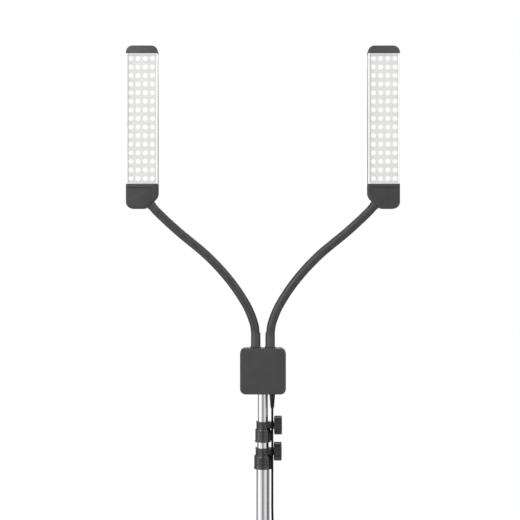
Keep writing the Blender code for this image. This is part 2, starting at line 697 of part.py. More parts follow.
def build_panel(label, side, head, dark, cap_grey, white, clear, green):
    piece(label + "_panel_housing", housing(side), dark, head)
    piece(label + "_panel_bezel", bezel(side), white, head)
    half = SHEET_WIDTH / 2.0
    middle = side * PANEL_X
    lens = box((middle - half, SEAT_Y + FIT, LIGHT_BOTTOM_Z + 2.0 * FIT),
               (middle + half, LENS_BACK_Y, LIGHT_TOP_Z - 2.0 * FIT))
    piece(label + "_panel_lens", lens, clear, head)
    piece(label + "_led_board", led_board(side), green, head)
    piece(label + "_top_cap", cap(top_cap_outline, side), cap_grey, head)
    piece(label + "_bottom_cap", cap(bottom_cap_outline, side), cap_grey, head)


# ---------------------------------------------------------------- tripod

def radial_plate(outline, thickness, offset=0.0):
    """A plate in the plane of a leg: outline of (radius, z) points, thickness along Y."""
    return prism(outline, offset - thickness / 2.0, offset + thickness / 2.0)


def strap_outline(start, end):
    """A bar with round ends from one point of the leg's plane to another."""
    start, end = Vector(start), Vector(end)
    along = (end - start).normalized()
    across = Vector((-along.y, along.x))
    outline = []
    for centre, facing in ((end, 1.0), (start, -1.0)):
        for k in range(7):
            turn = math.radians(-90.0 + 30.0 * k)
            outline.append(tuple(centre + LUG_R * facing * (math.cos(turn) * along
                                                            + math.sin(turn) * across)))
    return outline


def build_leg_collar(slider, plastic):
    """The sliding collar, with a pair of ears for each leg and a boss for its lock knob."""
    low, high = LEG_PIVOT_Z - 0.012, LEG_PIVOT_Z + 0.040
    body = turned(((COLLAR_R, low), (COLLAR_R, high), (LOWER_TUBE_R + FIT, high),
                   (LOWER_TUBE_R + FIT, low)), loop=True)
    for azimuth in LEG_AZIMUTHS:
        for offset in (-1.0, 1.0):
            y = offset * (TONGUE_T / 2.0 + 0.0005 + EAR_T / 2.0)
            outline = strap_outline((0.0185 + LUG_R, LEG_PIVOT_Z), (LEG_PIVOT_R, LEG_PIVOT_Z))
            body = combine(body, spun_about(radial_plate(outline, EAR_T, y), azimuth))
        pin = rod(PIN_R, -TONGUE_T, TONGUE_T, (LEG_PIVOT_R, LEG_PIVOT_Z), "Y", 12)
        body = combine(body, spun_about(pin, azimuth))
    z = LEG_PIVOT_Z + LEG_KNOB_ABOVE
    body = combine(body, rod(0.0070, 0.017, 0.026, (0.0, z), "Y"))
    thread = rod(0.0044, 0.0165, 0.04, (0.0, z), "Y")
    piece("leg_collar", cut(body, thread), plastic, slider)


def build_leg(number, azimuth, axis, metal, rubber):
    """A leg drawn towards +X in its open position, with its rubber foot."""
    along = Vector((math.sin(LEG_OPEN), 0.0, -math.cos(LEG_OPEN)))
    start = Vector((LEG_PIVOT_R, 0.0, LEG_PIVOT_Z))
    turn = along.to_track_quat("Z", "Y").to_matrix().to_4x4()
    frame = Matrix.Translation(start) @ turn

    bar = rod(LEG_R, 0.020, LEG_LENGTH - 0.006, sides=16)
    bmesh.ops.transform(bar, matrix=frame, verts=bar.verts)
    flat_end = start + along * 0.026
    tongue = radial_plate(strap_outline((start.x, start.z), (flat_end.x, flat_end.z)), TONGUE_T)
    bar = combine(bar, tongue)
    brace_at = start + along * BRACE_ON_LEG
    holes = [rod(PIN_R + 0.0004, -0.02, 0.02, (p.x, p.z), "Y", 12) for p in (start, brace_at)]
    piece(f"leg_{number}", spun_about(cut(bar, *holes), azimuth), metal, axis)

    profile = [(FOOT_R, LEG_LENGTH - 0.026), (FOOT_R, LEG_LENGTH)]
    for angle in (25.0, 50.0, 75.0):
        t = math.radians(angle)
        profile.append((FOOT_R * math.cos(t), LEG_LENGTH + FOOT_R * math.sin(t)))
    foot = turned(profile, 20)
    bmesh.ops.transform(foot, matrix=frame, verts=foot.verts)
    bore = rod(LEG_R + FIT, LEG_LENGTH - 0.04, LEG_LENGTH - 0.006 + FIT, sides=16)
    bmesh.ops.transform(bore, matrix=frame, verts=bore.verts)
    below = box((0.3, -0.05, -0.05), (0.5, 0.05, 0.0))
    piece(f"foot_{number}", spun_about(cut(foot, bore, below), azimuth), rubber, axis)


def build_brace(number, azimuth, axis, metal):
    """Two straps joined by a web, pinned through the leg and straddling the lower collar's lug."""
    lower = Vector((LEG_PIVOT_R, LOWER_PIVOT_Z))
    upper = Vector((LEG_PIVOT_R + BRACE_ON_LEG * math.sin(LEG_OPEN),
                    LEG_PIVOT_Z - BRACE_ON_LEG * math.cos(LEG_OPEN)))
    along = (upper - lower).normalized()
    side_y = LEG_R + 0.0008 + STRAP_T / 2.0
    outline = strap_outline(lower, upper)
    body = radial_plate(outline, STRAP_T, side_y)
    body = combine(body, radial_plate(outline, STRAP_T, -side_y))
    inward = Vector((-along.y, along.x))
    first, last = lower + along * WEB_FROM_LOWER, upper - along * WEB_FROM_UPPER
    web = [tuple(first + inward * (LUG_R - STRAP_T)), tuple(last + inward * (LUG_R - STRAP_T)),
           tuple(last + inward * (LUG_R - 0.0001)), tuple(first + inward * (LUG_R - 0.0001))]
    body = combine(body, radial_plate(web, 2.0 * side_y))
    pin = rod(PIN_R, -side_y - 0.002, side_y + 0.002, (upper.x, upper.y), "Y", 12)
    body = combine(body, pin)
    for offset in (-1.0, 1.0):
        inner, outer = sorted((offset * (side_y - 0.0002), offset * (side_y + 0.002)))
        body = combine(body, rod(PIN_R, inner, outer, (lower.x, lower.y), "Y", 12))
    piece(f"brace_{number}", spun_about(body, azimuth), metal, axis)


def build_tripod(base, plastic, knob_plastic, metal, rubber):
    collar = turned(((COLLAR_R, LOWER_PIVOT_Z - 0.012), (COLLAR_R, LOWER_PIVOT_Z + 0.012),
                     (LOWER_TUBE_R + FIT, LOWER_PIVOT_Z + 0.012),
                     (LOWER_TUBE_R + FIT, LOWER_TUBE_FOOT_Z - FIT),
                     (0.004, LOWER_TUBE_FOOT_Z - FIT), (0.004, LOWER_TUBE_FOOT_Z - 0.004),
                     (COLLAR_R - 0.003, LOWER_TUBE_FOOT_Z - 0.004)), loop=True)
    for azimuth in LEG_AZIMUTHS:
        outline = strap_outline((0.0185 + LUG_R, LOWER_PIVOT_Z), (LEG_PIVOT_R, LOWER_PIVOT_Z))
        collar = combine(collar, spun_about(radial_plate(outline, 2.0 * LEG_R), azimuth))
    piece("bottom_collar", collar, plastic, base)

    slider = pivot("leg_slider", (0.0, 0.0, LEG_PIVOT_Z), base)
    build_leg_collar(slider, plastic)
    z = LEG_PIVOT_Z + LEG_KNOB_ABOVE
    knob_axis = pivot("leg_knob_axis", (0.0, 0.0, z), slider)
    piece("leg_knob", knurled(0.012, 0.013, 0.0040, 0.0172, 0.0275, (0.0, z), 6),
          knob_plastic, knob_axis)
    for number, azimuth in enumerate(LEG_AZIMUTHS, 1):
        turn = Matrix.Rotation(math.radians(azimuth), 3, "Z")
        leg_origin = turn @ Vector((LEG_PIVOT_R, 0.0, LEG_PIVOT_Z))
        leg_axis = pivot(f"leg_{number}_axis", leg_origin, slider)
        build_leg(number, azimuth, leg_axis, metal, rubber)
        reach = LEG_PIVOT_R + BRACE_ON_LEG * math.sin(LEG_OPEN)
        height = LEG_PIVOT_Z - BRACE_ON_LEG * math.cos(LEG_OPEN)
        brace_axis = pivot(f"brace_{number}_axis", turn @ Vector((reach, 0.0, height)), leg_axis)
        build_brace(number, azimuth, brace_axis, metal)


# ---------------------------------------------------------------- power lead

def cord_tube(name, route, count, rubber, base):
    """A round tube through count points, evenly spaced on a smooth curve through the route."""
    dense = smooth_route(route, 16)
    lengths = arc_lengths(dense)
    points = at_length(dense, lengths, np.linspace(0.0, lengths[-1], count))
    curve = bpy.data.curves.new(name, "CURVE")
    curve.dimensions = "3D"
    curve.bevel_depth = CORD_R
    curve.bevel_resolution = 2
    curve.use_fill_caps = True
    spline = curve.splines.new("POLY")
    spline.points.add(count - 1)
    for spot, point in zip(spline.points, points):
        spot.co = (*point, 1.0)
    curve.materials.append(rubber)
    attach(bpy.data.objects.new(name, curve), (0.0, 0.0, 0.0), base)


def build_lead(base, hub, rubber, black, steel):
    top = HUB_BOTTOM_Z + HUB_WALL + FIT
    tip = HUB_BOTTOM_Z - RELIEF_H
    relief = turned(((0.0032, top + 0.0022), (0.0062, top + 0.0018), (0.0062, top),
                     (0.0040, top), (0.0040, HUB_BOTTOM_Z - FIT), (0.0056, HUB_BOTTOM_Z - FIT),
                     (0.0054, HUB_BOTTOM_Z - 0.004), (0.0038, tip + 0.001), (0.0034, tip)),
                    16, (RELIEF_X, RELIEF_Y))
    piece("strain_relief", relief, rubber, hub)

    cord_tube("cord", CORD_ROUTE, CORD_POINTS, rubber, base)
    cord_tube("cord_tail", TAIL_ROUTE, TAIL_POINTS, rubber, base)

    half_w = COIL_TURNS_WIDE * CORD_R
    height = 2.0 * CORD_R * COIL_TURNS_HIGH
    ring = turned(((COIL_MEAN_R + half_w, FIT), (COIL_MEAN_R + half_w, FIT + height),
                   (COIL_MEAN_R - half_w, FIT + height), (COIL_MEAN_R - half_w, FIT)),
                  COIL_SIDES, COIL_CENTRE, loop=True)
    piece("cord_coil", ring, rubber, base)
    build_adapter(base, black, steel)


def build_adapter(base, black, steel):
    """A wall adapter lying beside the coil, its relief towards the lead and two flat blades."""
    length, width, height = ADAPTER
    x = COIL_CENTRE[0] + COIL_MEAN_R + 0.014 + width / 2.0
    y = COIL_CENTRE[1] + 0.010
    body = loft([[(a, b, z) for a, b in rectangle(width - 2 * i, length - 2 * i, 0.005, (x, y))]
                 for i, z in ((0.002, FIT), (0.0, FIT + 0.002), (0.0, height - 0.002),
                              (0.002, height))])
    relief = turned(((0.0050, y - length / 2.0 + 0.001), (0.0048, y - length / 2.0 - 0.004),
                     (0.0032, y - length / 2.0 - 0.020)), 14, (x - 0.012, 0.0065), "Y")
    for blade in (-1.0, 1.0):
        bx = x + blade * 0.00635
        start = y + length / 2.0 - 0.001
        body = combine(body, box((bx - 0.00075, start, height / 2.0 - 0.0032),
                                 (bx + 0.00075, start + 0.017, height / 2.0 + 0.0032)))
    piece("wall_adapter", combine(body, relief), black, base)


# ---------------------------------------------------------------- the whole light

def build():
    clear_scene()
    chrome = make_material("chrome_tube", (0.72, 0.72, 0.74), 0.22, 1.0)
    aluminium = make_material("leg_aluminium", (0.60, 0.60, 0.62), 0.35, 1.0)
    hub_plastic = make_material("hub_plastic", (0.070, 0.070, 0.073), 0.48)
    collar_plastic = make_material("collar_plastic", (0.040, 0.040, 0.042), 0.50)
    knob_plastic = make_material("knob_plastic", (0.025, 0.025, 0.026), 0.42)
    cap_grey = make_material("cap_plastic", (0.095, 0.095, 0.098), 0.50)
    housing_dark = make_material("panel_housing", (0.060, 0.060, 0.063), 0.45, 0.4)
    bezel_white = make_material("panel_bezel", (0.82, 0.82, 0.82), 0.45)
    lens_clear = make_material("panel_lens", (0.90, 0.90, 0.90), 0.25)
    board_white = make_material("circuit_board", (0.70, 0.70, 0.72), 0.5)
    sleeve = make_material("neck_sleeve", (0.080, 0.080, 0.083), 0.55)
    ferrule_metal = make_material("ferrule_metal", (0.10, 0.10, 0.105), 0.35, 0.8)
    rubber = make_material("black_rubber", (0.012, 0.012, 0.012), 0.60)
    steel = make_material("steel", (0.55, 0.55, 0.56), 0.30, 1.0)

    root = pivot("base", (0.0, 0.0, 0.0), None)
    root.location = (0.0, MAST_Y, 0.0)
    middle = pivot("middle_section", (0.0, 0.0, LOWER_COLLAR_TOP), root)
    top = pivot("top_section", (0.0, 0.0, UPPER_COLLAR_TOP), middle)
    hub = pivot("hub", (0.0, 0.0, HUB_BOTTOM_Z), top)

    build_mast(root, middle, top, chrome, collar_plastic, knob_plastic)
    build_hub(hub, hub_plastic, knob_plastic, board_white, steel)
    for label, side in (("left", -1.0), ("right", 1.0)):
        head = build_neck(label, side, hub, sleeve, ferrule_metal)
        build_panel(label, side, head, housing_dark, cap_grey, bezel_white, lens_clear,
                    board_white)
    build_tripod(root, collar_plastic, knob_plastic, aluminium, rubber)
    build_lead(root, hub, rubber, hub_plastic, steel)


build()
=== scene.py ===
import json
from math import ceil, cos, pi, radians, sin, tan

import bmesh
import bpy
import numpy as np
from mathutils import Matrix, Vector

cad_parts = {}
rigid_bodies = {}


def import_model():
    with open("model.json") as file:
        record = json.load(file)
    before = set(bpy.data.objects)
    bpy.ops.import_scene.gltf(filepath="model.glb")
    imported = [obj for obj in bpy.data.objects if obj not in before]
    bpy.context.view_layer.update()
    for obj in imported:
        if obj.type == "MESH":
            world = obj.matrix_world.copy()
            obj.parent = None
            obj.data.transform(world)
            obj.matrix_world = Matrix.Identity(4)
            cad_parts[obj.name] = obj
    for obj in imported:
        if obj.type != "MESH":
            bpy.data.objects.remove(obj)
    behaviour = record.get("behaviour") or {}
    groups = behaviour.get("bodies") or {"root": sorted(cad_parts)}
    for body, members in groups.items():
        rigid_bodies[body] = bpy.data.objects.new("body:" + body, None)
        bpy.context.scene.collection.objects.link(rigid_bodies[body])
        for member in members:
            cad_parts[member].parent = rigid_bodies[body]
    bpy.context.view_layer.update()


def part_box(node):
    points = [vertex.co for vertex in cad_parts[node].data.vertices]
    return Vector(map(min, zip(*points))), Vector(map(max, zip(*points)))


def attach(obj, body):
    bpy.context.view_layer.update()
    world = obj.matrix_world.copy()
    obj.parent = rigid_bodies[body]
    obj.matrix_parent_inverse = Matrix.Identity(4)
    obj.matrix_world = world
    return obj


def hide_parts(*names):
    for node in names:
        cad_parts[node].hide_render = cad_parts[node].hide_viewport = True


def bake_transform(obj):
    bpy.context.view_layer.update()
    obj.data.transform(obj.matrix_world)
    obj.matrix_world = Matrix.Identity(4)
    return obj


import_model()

FULL_TURN = 2.0 * pi

# ---------------------------------------------------------------- places read from the CAD parts


def measure(node):
    """Low and high corner, middle and size of a CAD node's box."""
    low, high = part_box(node)
    return low, high, (low + high) / 2.0, high - low


MAST_Y = measure("top_tube")[2].y
HUB_LOW, HUB_HIGH, HUB_MIDDLE, HUB_SIZE = measure("hub_front_shell")
HUB_BOTTOM_Z, HUB_TOP_Z = HUB_LOW.z, HUB_HIGH.z
SIDES = (("left", -1.0), ("right", 1.0))


# ---------------------------------------------------------------- camera, light and floor

VIEW_WIDTH = 1.118              # width of the picture at the mast, in metres
VIEW_DISTANCE = 2.60
VIEW_HEIGHT = 1.108
VIEW_X = -0.0063
SENSOR_WIDTH = 36.0
STUDIO_STRENGTH = 0.80
STUDIO_BANDS = (                # brightness round the horizon, from behind the camera's left
    (0.000, 0.20), (0.045, 0.55), (0.085, 1.15), (0.165, 1.20), (0.203, 2.70), (0.238, 0.80),
    (0.330, 0.42), (0.400, 0.26), (0.500, 0.45), (0.600, 0.22), (0.680, 0.26), (0.730, 0.40),
    (0.800, 0.95), (0.900, 1.05), (0.950, 0.70), (1.000, 0.20),
)
LIGHTS = (
    # name, place from the mast, height it is aimed at, size, power
    ("key", (-1.6, -2.2, 2.3), 1.1, (1.6, 1.6), 28.0),
    ("fill", (1.9, -1.6, 2.7), 1.0, (1.4, 1.2), 14.0),
    ("back", (0.5, 2.2, 2.5), 0.9, (2.2, 1.4), 34.0),
)
FLOOR_RADIUS = 1.45


def build_camera():
    data = bpy.data.cameras.new("camera")
    data.sensor_width = SENSOR_WIDTH
    data.lens = SENSOR_WIDTH * VIEW_DISTANCE / VIEW_WIDTH
    camera = bpy.data.objects.new("camera", data)
    camera.location = (VIEW_X, MAST_Y - VIEW_DISTANCE, VIEW_HEIGHT)
    camera.rotation_euler = (radians(90.0), 0.0, 0.0)
    bpy.context.collection.objects.link(camera)
    bpy.context.scene.camera = camera


def build_lights():
    for name, place, aim, size, power in LIGHTS:
        data = bpy.data.lights.new(name, "AREA")
        data.shape = "RECTANGLE"
        data.size, data.size_y = size
        data.energy = power
        lamp = bpy.data.objects.new(name, data)
        lamp.location = Vector(place) + Vector((0.0, MAST_Y, 0.0))
        towards = Vector((0.0, MAST_Y, aim)) - lamp.location
        lamp.rotation_euler = towards.to_track_quat("-Z", "Y").to_euler()
        bpy.context.collection.objects.link(lamp)


def wire(tree, kind, inputs, **settings):
    """A new node, with each input given as a value or as another node's output."""
    node = tree.nodes.new("ShaderNode" + kind)
    for name, value in settings.items():
        setattr(node, name, value)
    for key, value in inputs.items():
        if isinstance(value, bpy.types.NodeSocket):
            tree.links.new(value, node.inputs[key])
        else:
            node.inputs[key].default_value = value
    return node


def build_world():
    """White to the camera; to the object, a bright studio with darker stretches beside it."""
    world = bpy.data.worlds.new("studio")
    bpy.context.scene.world = world
    world.use_nodes = True
    tree = world.node_tree
    tree.nodes.clear()
    split = wire(tree, "SeparateXYZ", {0: wire(tree, "TexCoord", {}).outputs["Generated"]})
    angle = wire(tree, "Math", {0: split.outputs["X"], 1: split.outputs["Y"]},
                 operation="ARCTAN2")
    turn = wire(tree, "MapRange", {"Value": angle.outputs[0], "From Min": -pi, "From Max": pi})
    bands = wire(tree, "ValToRGB", {"Fac": turn.outputs[0]})
    ramp = bands.color_ramp
    for element, (position, value) in zip(ramp.elements, (STUDIO_BANDS[0], STUDIO_BANDS[-1])):
        element.position = position
        element.color = (value, value, value, 1.0)
    for position, value in STUDIO_BANDS[1:-1]:
        ramp.elements.new(position).color = (value, value, value, 1.0)
    studio = wire(tree, "Background", {"Color": bands.outputs["Color"],
                                       "Strength": STUDIO_STRENGTH})
    white = wire(tree, "Background", {"Color": (1.0, 1.0, 1.0, 1.0)})
    seen = wire(tree, "LightPath", {})
    mix = wire(tree, "MixShader", {"Fac": seen.outputs["Is Camera Ray"], 1: studio.outputs[0],
                                   2: white.outputs[0]})
    wire(tree, "OutputWorld", {"Surface": mix.outputs[0]})


def build_floor():
    bm = bmesh.new()
    bmesh.ops.create_circle(bm, cap_ends=True, radius=FLOOR_RADIUS, segments=96)
    mesh = bpy.data.meshes.new("studio_floor")
    bm.to_mesh(mesh)
    bm.free()
    floor = bpy.data.objects.new("studio_floor", mesh)
    bpy.context.collection.objects.link(floor)
    shade = Shader("studio_floor", (0.80, 0.80, 0.80), 0.75)
    shade.vary(shade.noise(6.0), 0.78, 0.82)
    mesh.materials.append(shade.mat)


# ---------------------------------------------------------------- materials

NOISE_RANGE = (0.3, 0.7)        # where most of a noise texture's values lie
COOL = (1.0, 1.0, 1.01)         # the faint blue of moulded plastic and metal
DUST = (0.22, 0.21, 0.20)


class Shader:
    """A Principled material built from small steps. Distances are in metres of the object."""

    def __init__(self, name, colour, roughness, metallic=0.0, **settings):
        self.mat = bpy.data.materials.new(name)
        self.mat.use_nodes = True
        self.bsdf = self.mat.node_tree.nodes["Principled BSDF"]
        self.colour = colour
        self.set("Base Color", (*colour, 1.0))
        self.set("Roughness", roughness)
        self.set("Metallic", metallic)
        for socket, value in settings.items():
            self.set(socket.replace("_", " ").title().replace("Ior", "IOR"), value)
        self.place = self.node("TexCoord", {}).outputs["Object"]
        self.normal = None

    def node(self, kind, inputs, **settings):
        return wire(self.mat.node_tree, kind, inputs, **settings)

    def set(self, socket, value):
        """Give one of the shader's own sockets a value or another node's output."""
        if isinstance(value, bpy.types.NodeSocket):
            self.mat.node_tree.links.new(value, self.bsdf.inputs[socket])
        else:
            self.bsdf.inputs[socket].default_value = value

    def noise(self, scale, detail=4.0, stretch=None, roughness=0.55):
        place = self.place
        if stretch:
            place = self.node("Mapping", {"Vector": place, "Scale": stretch}).outputs[0]
        return self.node("TexNoise", {"Vector": place, "Scale": scale, "Detail": detail,
                                      "Roughness": roughness}).outputs["Fac"]

    def cells(self, scale, feature="F1"):
        return self.node("TexVoronoi", {"Vector": self.place, "Scale": scale},
                         feature=feature).outputs["Distance"]

    def fit(self, source, low, high, to_low, to_high):
        return self.node("MapRange", {"Value": source, "From Min": low, "From Max": high,
                                      "To Min": to_low, "To Max": to_high}).outputs[0]

    def math(self, operation, *values):
        return self.node("Math", dict(enumerate(values)), operation=operation).outputs[0]

    def mix(self, fac, below, above):
        """Make the base colour a mix, going from below to above as fac rises."""
        node = self.node("Mix", {"Factor": fac, 6: below, 7: above}, data_type="RGBA")
        self.set("Base Color", node.outputs[2])

    def vary(self, source, dark, light):
        """Vary the base colour in brightness, from dark to light at its strongest channel."""
        peak = max(self.colour)
        shades = [(*[c / peak * level for c in self.colour], 1.0) for level in (dark, light)]
        self.mix(self.fit(source, *NOISE_RANGE, 0.0, 1.0), *shades)

    def blend_colour(self, fac, other):
        """Mix the colour so far, which vary() gave, with another one, where fac is high."""
        so_far = self.bsdf.inputs["Base Color"].links[0].from_socket
        self.mix(fac, so_far, (*other, 1.0))

    def rough(self, source, low, high):
        self.set("Roughness", self.fit(source, *NOISE_RANGE, low, high))

    def bump(self, height, strength, distance):
        """Raise the surface by a height, on top of any bump so far."""
        inputs = {"Strength": strength, "Distance": distance, "Height": height}
        if self.normal:
            inputs["Normal"] = self.normal
        self.normal = self.node("Bump", inputs).outputs[0]
        self.set("Normal", self.normal)

    def glow(self, colour, strength):
        """Light that the material gives off."""
        self.set("Emission Color", (*colour, 1.0))
        self.set("Emission Strength", strength)


def moulded(name, grey, roughness, grain=0.35, specular=0.45, lit=0.0):
    """Moulded plastic: a spark-eroded grain, faint cloudiness, and fine rubbed spots."""
    shade = Shader(name, tuple(grey * t for t in COOL), roughness, specular_ior_level=specular)
    cloud = shade.noise(35.0, 5.0)
    shade.vary(cloud, grey * 0.90, grey * 1.10)
    scuff = shade.fit(shade.noise(160.0, 8.0, roughness=0.7), 0.60, 0.72, 0.0, 0.35)
    shade.blend_colour(scuff, tuple(grey * 1.5 * t for t in COOL))
    shade.rough(shade.noise(90.0, 6.0), roughness - 0.06, roughness + 0.08)
    shade.bump(shade.noise(2600.0, 2.0), grain, 0.00010)
    shade.bump(shade.cells(1500.0), grain * 0.7, 0.00008)
    # a painted glow, where one is given
    if lit:
        shade.glow(DAYLIGHT, lit)
    return shade.mat


def bright_tube(name, grey, roughness):
    """Satin chrome: drawing lines along the tube and faint handling marks."""
    shade = Shader(name, (grey, grey, grey * 1.01), roughness, 1.0)
    lines = shade.noise(1.0, 3.0, (1500.0, 1500.0, 14.0))
    marks = shade.noise(60.0, 7.0, (1.0, 1.0, 0.35))
    shade.vary(marks, grey * 0.94, grey * 1.03)
    shade.set("Roughness", shade.fit(lines, 0.25, 0.75, roughness - 0.03, roughness + 0.05))
    shade.bump(lines, 0.06, 0.00005)
    return shade.mat


def machined(name, grey, roughness, stretch):
    """Bare metal with tool marks drawn out along one way by the stretch."""
    shade = Shader(name, (grey, grey, grey * 1.01), roughness, 1.0)
    lines = shade.noise(1.0, 4.0, stretch)
    shade.vary(lines, grey * 0.86, grey * 1.08)
    shade.rough(lines, roughness - 0.05, roughness + 0.10)
    shade.bump(lines, 0.15, 0.00006)
    return shade.mat


def soft_rubber(name, grey, roughness, specular=0.4, dusty=0.18):
    """Soft plastic or rubber: matt patches, a fine tooth, and dust in places."""
    shade = Shader(name, (grey, grey, grey), roughness, specular_ior_level=specular)
    shade.vary(shade.noise(50.0, 6.0), grey * 0.80, grey * 1.25)
    dust = shade.fit(shade.noise(240.0, 7.0, roughness=0.7), 0.58, 0.75, 0.0, dusty)
    shade.blend_colour(dust, DUST)
    shade.rough(shade.noise(120.0, 5.0), roughness - 0.08, roughness + 0.08)
    shade.bump(shade.noise(1800.0, 3.0), 0.30, 0.00010)
    return shade.mat


# ---------------------------------------------------------------- mesh helpers

def solid(name, bm, mat, bevel=0.0, segments=3, angle=40.0, sharp=40.0):
    """A bmesh as an object, smooth shaded, with its edges rounded where a bevel is given."""
    bmesh.ops.recalc_face_normals(bm, faces=bm.faces)
    mesh = bpy.data.meshes.new(name)
    bm.to_mesh(mesh)
    bm.free()
    mesh.shade_smooth()
    mesh.set_sharp_from_angle(angle=radians(sharp))
    mesh.materials.append(mat)
    item = bpy.data.objects.new(name, mesh)
    bpy.context.collection.objects.link(item)
    if bevel:
        edges = item.modifiers.new("rounded_edges", "BEVEL")
        edges.width = bevel
        edges.segments = segments
        edges.limit_method = "ANGLE"
        edges.angle_limit = radians(angle)
        edges.use_clamp_overlap = True
        edges.harden_normals = True
    return item


def piece(name, bm, mat, body, slot, *nodes, **edges):
    """A solid that rides on a body and stands for CAD nodes, which it hides; the slot is not used.
    """
    item = solid(name, bm, mat, **edges)
    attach(item, body)
    if nodes:
        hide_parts(*nodes)
    return item


def loft(rings, loop=False):
    """A skin over rings of points: a loop back to the first ring, or else closed at both ends."""
    bm = bmesh.new()
    rows = [[bm.verts.new(point) for point in ring] for ring in rings]
    count = len(rows[0])
    pairs = list(zip(rows, rows[1:]))
    if loop:
        pairs.append((rows[-1], rows[0]))
    else:
        bm.faces.new(rows[0])
        bm.faces.new(rows[-1])
    for lower, upper in pairs:
        for i in range(count):
            j = (i + 1) % count
            bm.faces.new((lower[i], lower[j], upper[j], upper[i]))
    bmesh.ops.recalc_face_normals(bm, faces=bm.faces)
    return bm


def circle(radius, height, sides, centre, axis):
    """A ring of points round an axis; radius is one number, or a list with one for each point."""
    points = []
    for i in range(sides):
        angle = FULL_TURN * i / sides
        r = radius[i] if isinstance(radius, list) else radius
        a, b = centre[0] + r * cos(angle), centre[1] + r * sin(angle)
        points.append({"X": (height, a, b), "Y": (a, height, b), "Z": (a, b, height)}[axis])
    return points


def turned(profile, centre, axis="Z", sides=64, loop=False):
    """A profile of (radius, height) points turned round an axis through centre."""
    return loft([circle(r, h, sides, centre, axis) for r, h in profile], loop)


def repeated(count, radius, start, pitch, shape, taper=0.0):
    """Profile points for ridges or grooves: a shape of (depth, height) points, count times."""
    return [(radius - i * taper - depth, start + i * pitch + height)
            for i in range(count) for depth, height in shape]


def fillet(profile, radius, steps=4, closed=False):
    """Round each corner of a profile or outline that is sharper than 15 degrees."""
    out = []
    count = len(profile)
    for i, point in enumerate(profile):
        if not closed and i in (0, count - 1):
            out.append(point)
            continue
        here = Vector(point)
        before = Vector(profile[i - 1]) - here
        after = Vector(profile[(i + 1) % count]) - here
        if before.length < 1e-9 or after.length < 1e-9:
            continue
        opening = before.angle(after)
        if opening > radians(165.0):
            out.append(point)
            continue
        reach = min(radius / tan(opening / 2.0), before.length * 0.48, after.length * 0.48)
        start = here + before.normalized() * reach
        end = here + after.normalized() * reach
        for k in range(steps + 1):
            t = k / steps
            out.append(tuple((1 - t) ** 2 * start + 2 * t * (1 - t) * here + t * t * end))
    return out


def rounded(corners, steps=8):
    """An outline from (x, y, radius) corners, each round one drawn as an arc."""
    outline = []
    for i, (x, y, radius) in enumerate(corners):
        here = Vector((x, y))
        before = (Vector(corners[i - 1][:2]) - here).normalized()
        after = (Vector(corners[(i + 1) % len(corners)][:2]) - here).normalized()
        if radius <= 0.0:
            outline.append((x, y))
            continue
        half = before.angle(after) / 2.0
        centre = here + (before + after).normalized() * radius / sin(half)
        start = here + before * radius / tan(half) - centre
        sweep = start.angle_signed(here + after * radius / tan(half) - centre)
        for k in range(steps + 1):
            turn = Matrix.Rotation(-sweep * k / steps, 2)
            outline.append(tuple(centre + turn @ start))
    return outline


def rectangle(width, height, radius, centre, steps=8):
    x, y = width / 2.0, height / 2.0
    corners = ((-x, -y), (x, -y), (x, y), (-x, y))
    return rounded([(centre[0] + a, centre[1] + b, radius) for a, b in corners], steps)


def upright(outline, y):
    return [(x, y, z) for x, z in outline]


def prism(outline, y0, y1):
    return loft([upright(outline, y0), upright(outline, y1)])


def slab(outline, y0, y1):
    return prism(outline, min(y0, y1), max(y0, y1))


def box(low, high):
    return loft([[(low[0], low[1], z), (high[0], low[1], z), (high[0], high[1], z),
                  (low[0], high[1], z)] for z in (low[2], high[2])])


def merged(*meshes):
    """Several bmeshes as one mesh."""
    whole = bmesh.new()
    for part in meshes:
        mesh = bpy.data.meshes.new("merged")
        part.to_mesh(mesh)
        part.free()
        whole.from_mesh(mesh)
        bpy.data.meshes.remove(mesh)
    return whole


def combine(base, tool, operation="UNION"):
    """Boolean of two bmeshes, which are both used up."""
    items = []
    for source in (base, tool):
        mesh = bpy.data.meshes.new("temporary")
        source.to_mesh(mesh)
        source.free()
        item = bpy.data.objects.new("temporary", mesh)
        bpy.context.collection.objects.link(item)
        items.append(item)
    modifier = items[0].modifiers.new("combine", "BOOLEAN")
    modifier.object = items[1]
    modifier.operation = operation
    result = bmesh.new()
    result.from_object(items[0], bpy.context.evaluated_depsgraph_get())
    for item in items:
        mesh = item.data
        bpy.data.objects.remove(item, do_unlink=True)
        bpy.data.meshes.remove(mesh)
    bmesh.ops.remove_doubles(result, verts=result.verts, dist=1e-6)
    return result


def moved(bm, matrix):
    bmesh.ops.transform(bm, matrix=matrix, verts=bm.verts)
    return bm


def smooth_route(points, samples=12):
    """Catmull-Rom curve through given points."""
    points = np.array(points, dtype=float)
    padded = np.vstack([2 * points[0] - points[1], points, 2 * points[-1] - points[-2]])
    out = []
    for i in range(1, len(padded) - 2):
        a, b, c, d = padded[i - 1:i + 3]
        for t in np.linspace(0.0, 1.0, samples, endpoint=False):
            out.append(0.5 * (2 * b + (c - a) * t + (2 * a - 5 * b + 4 * c - d) * t ** 2
                              + (3 * b - a - 3 * c + d) * t ** 3))
    out.append(points[-1])
    return np.array(out)


def arc_lengths(points):
    return np.concatenate([[0.0], np.cumsum(np.linalg.norm(np.diff(points, axis=0), axis=1))])


def at_length(points, wanted):
    lengths = arc_lengths(points)
    return np.array([np.interp(wanted, lengths, points[:, k]) for k in range(points.shape[1])]).T


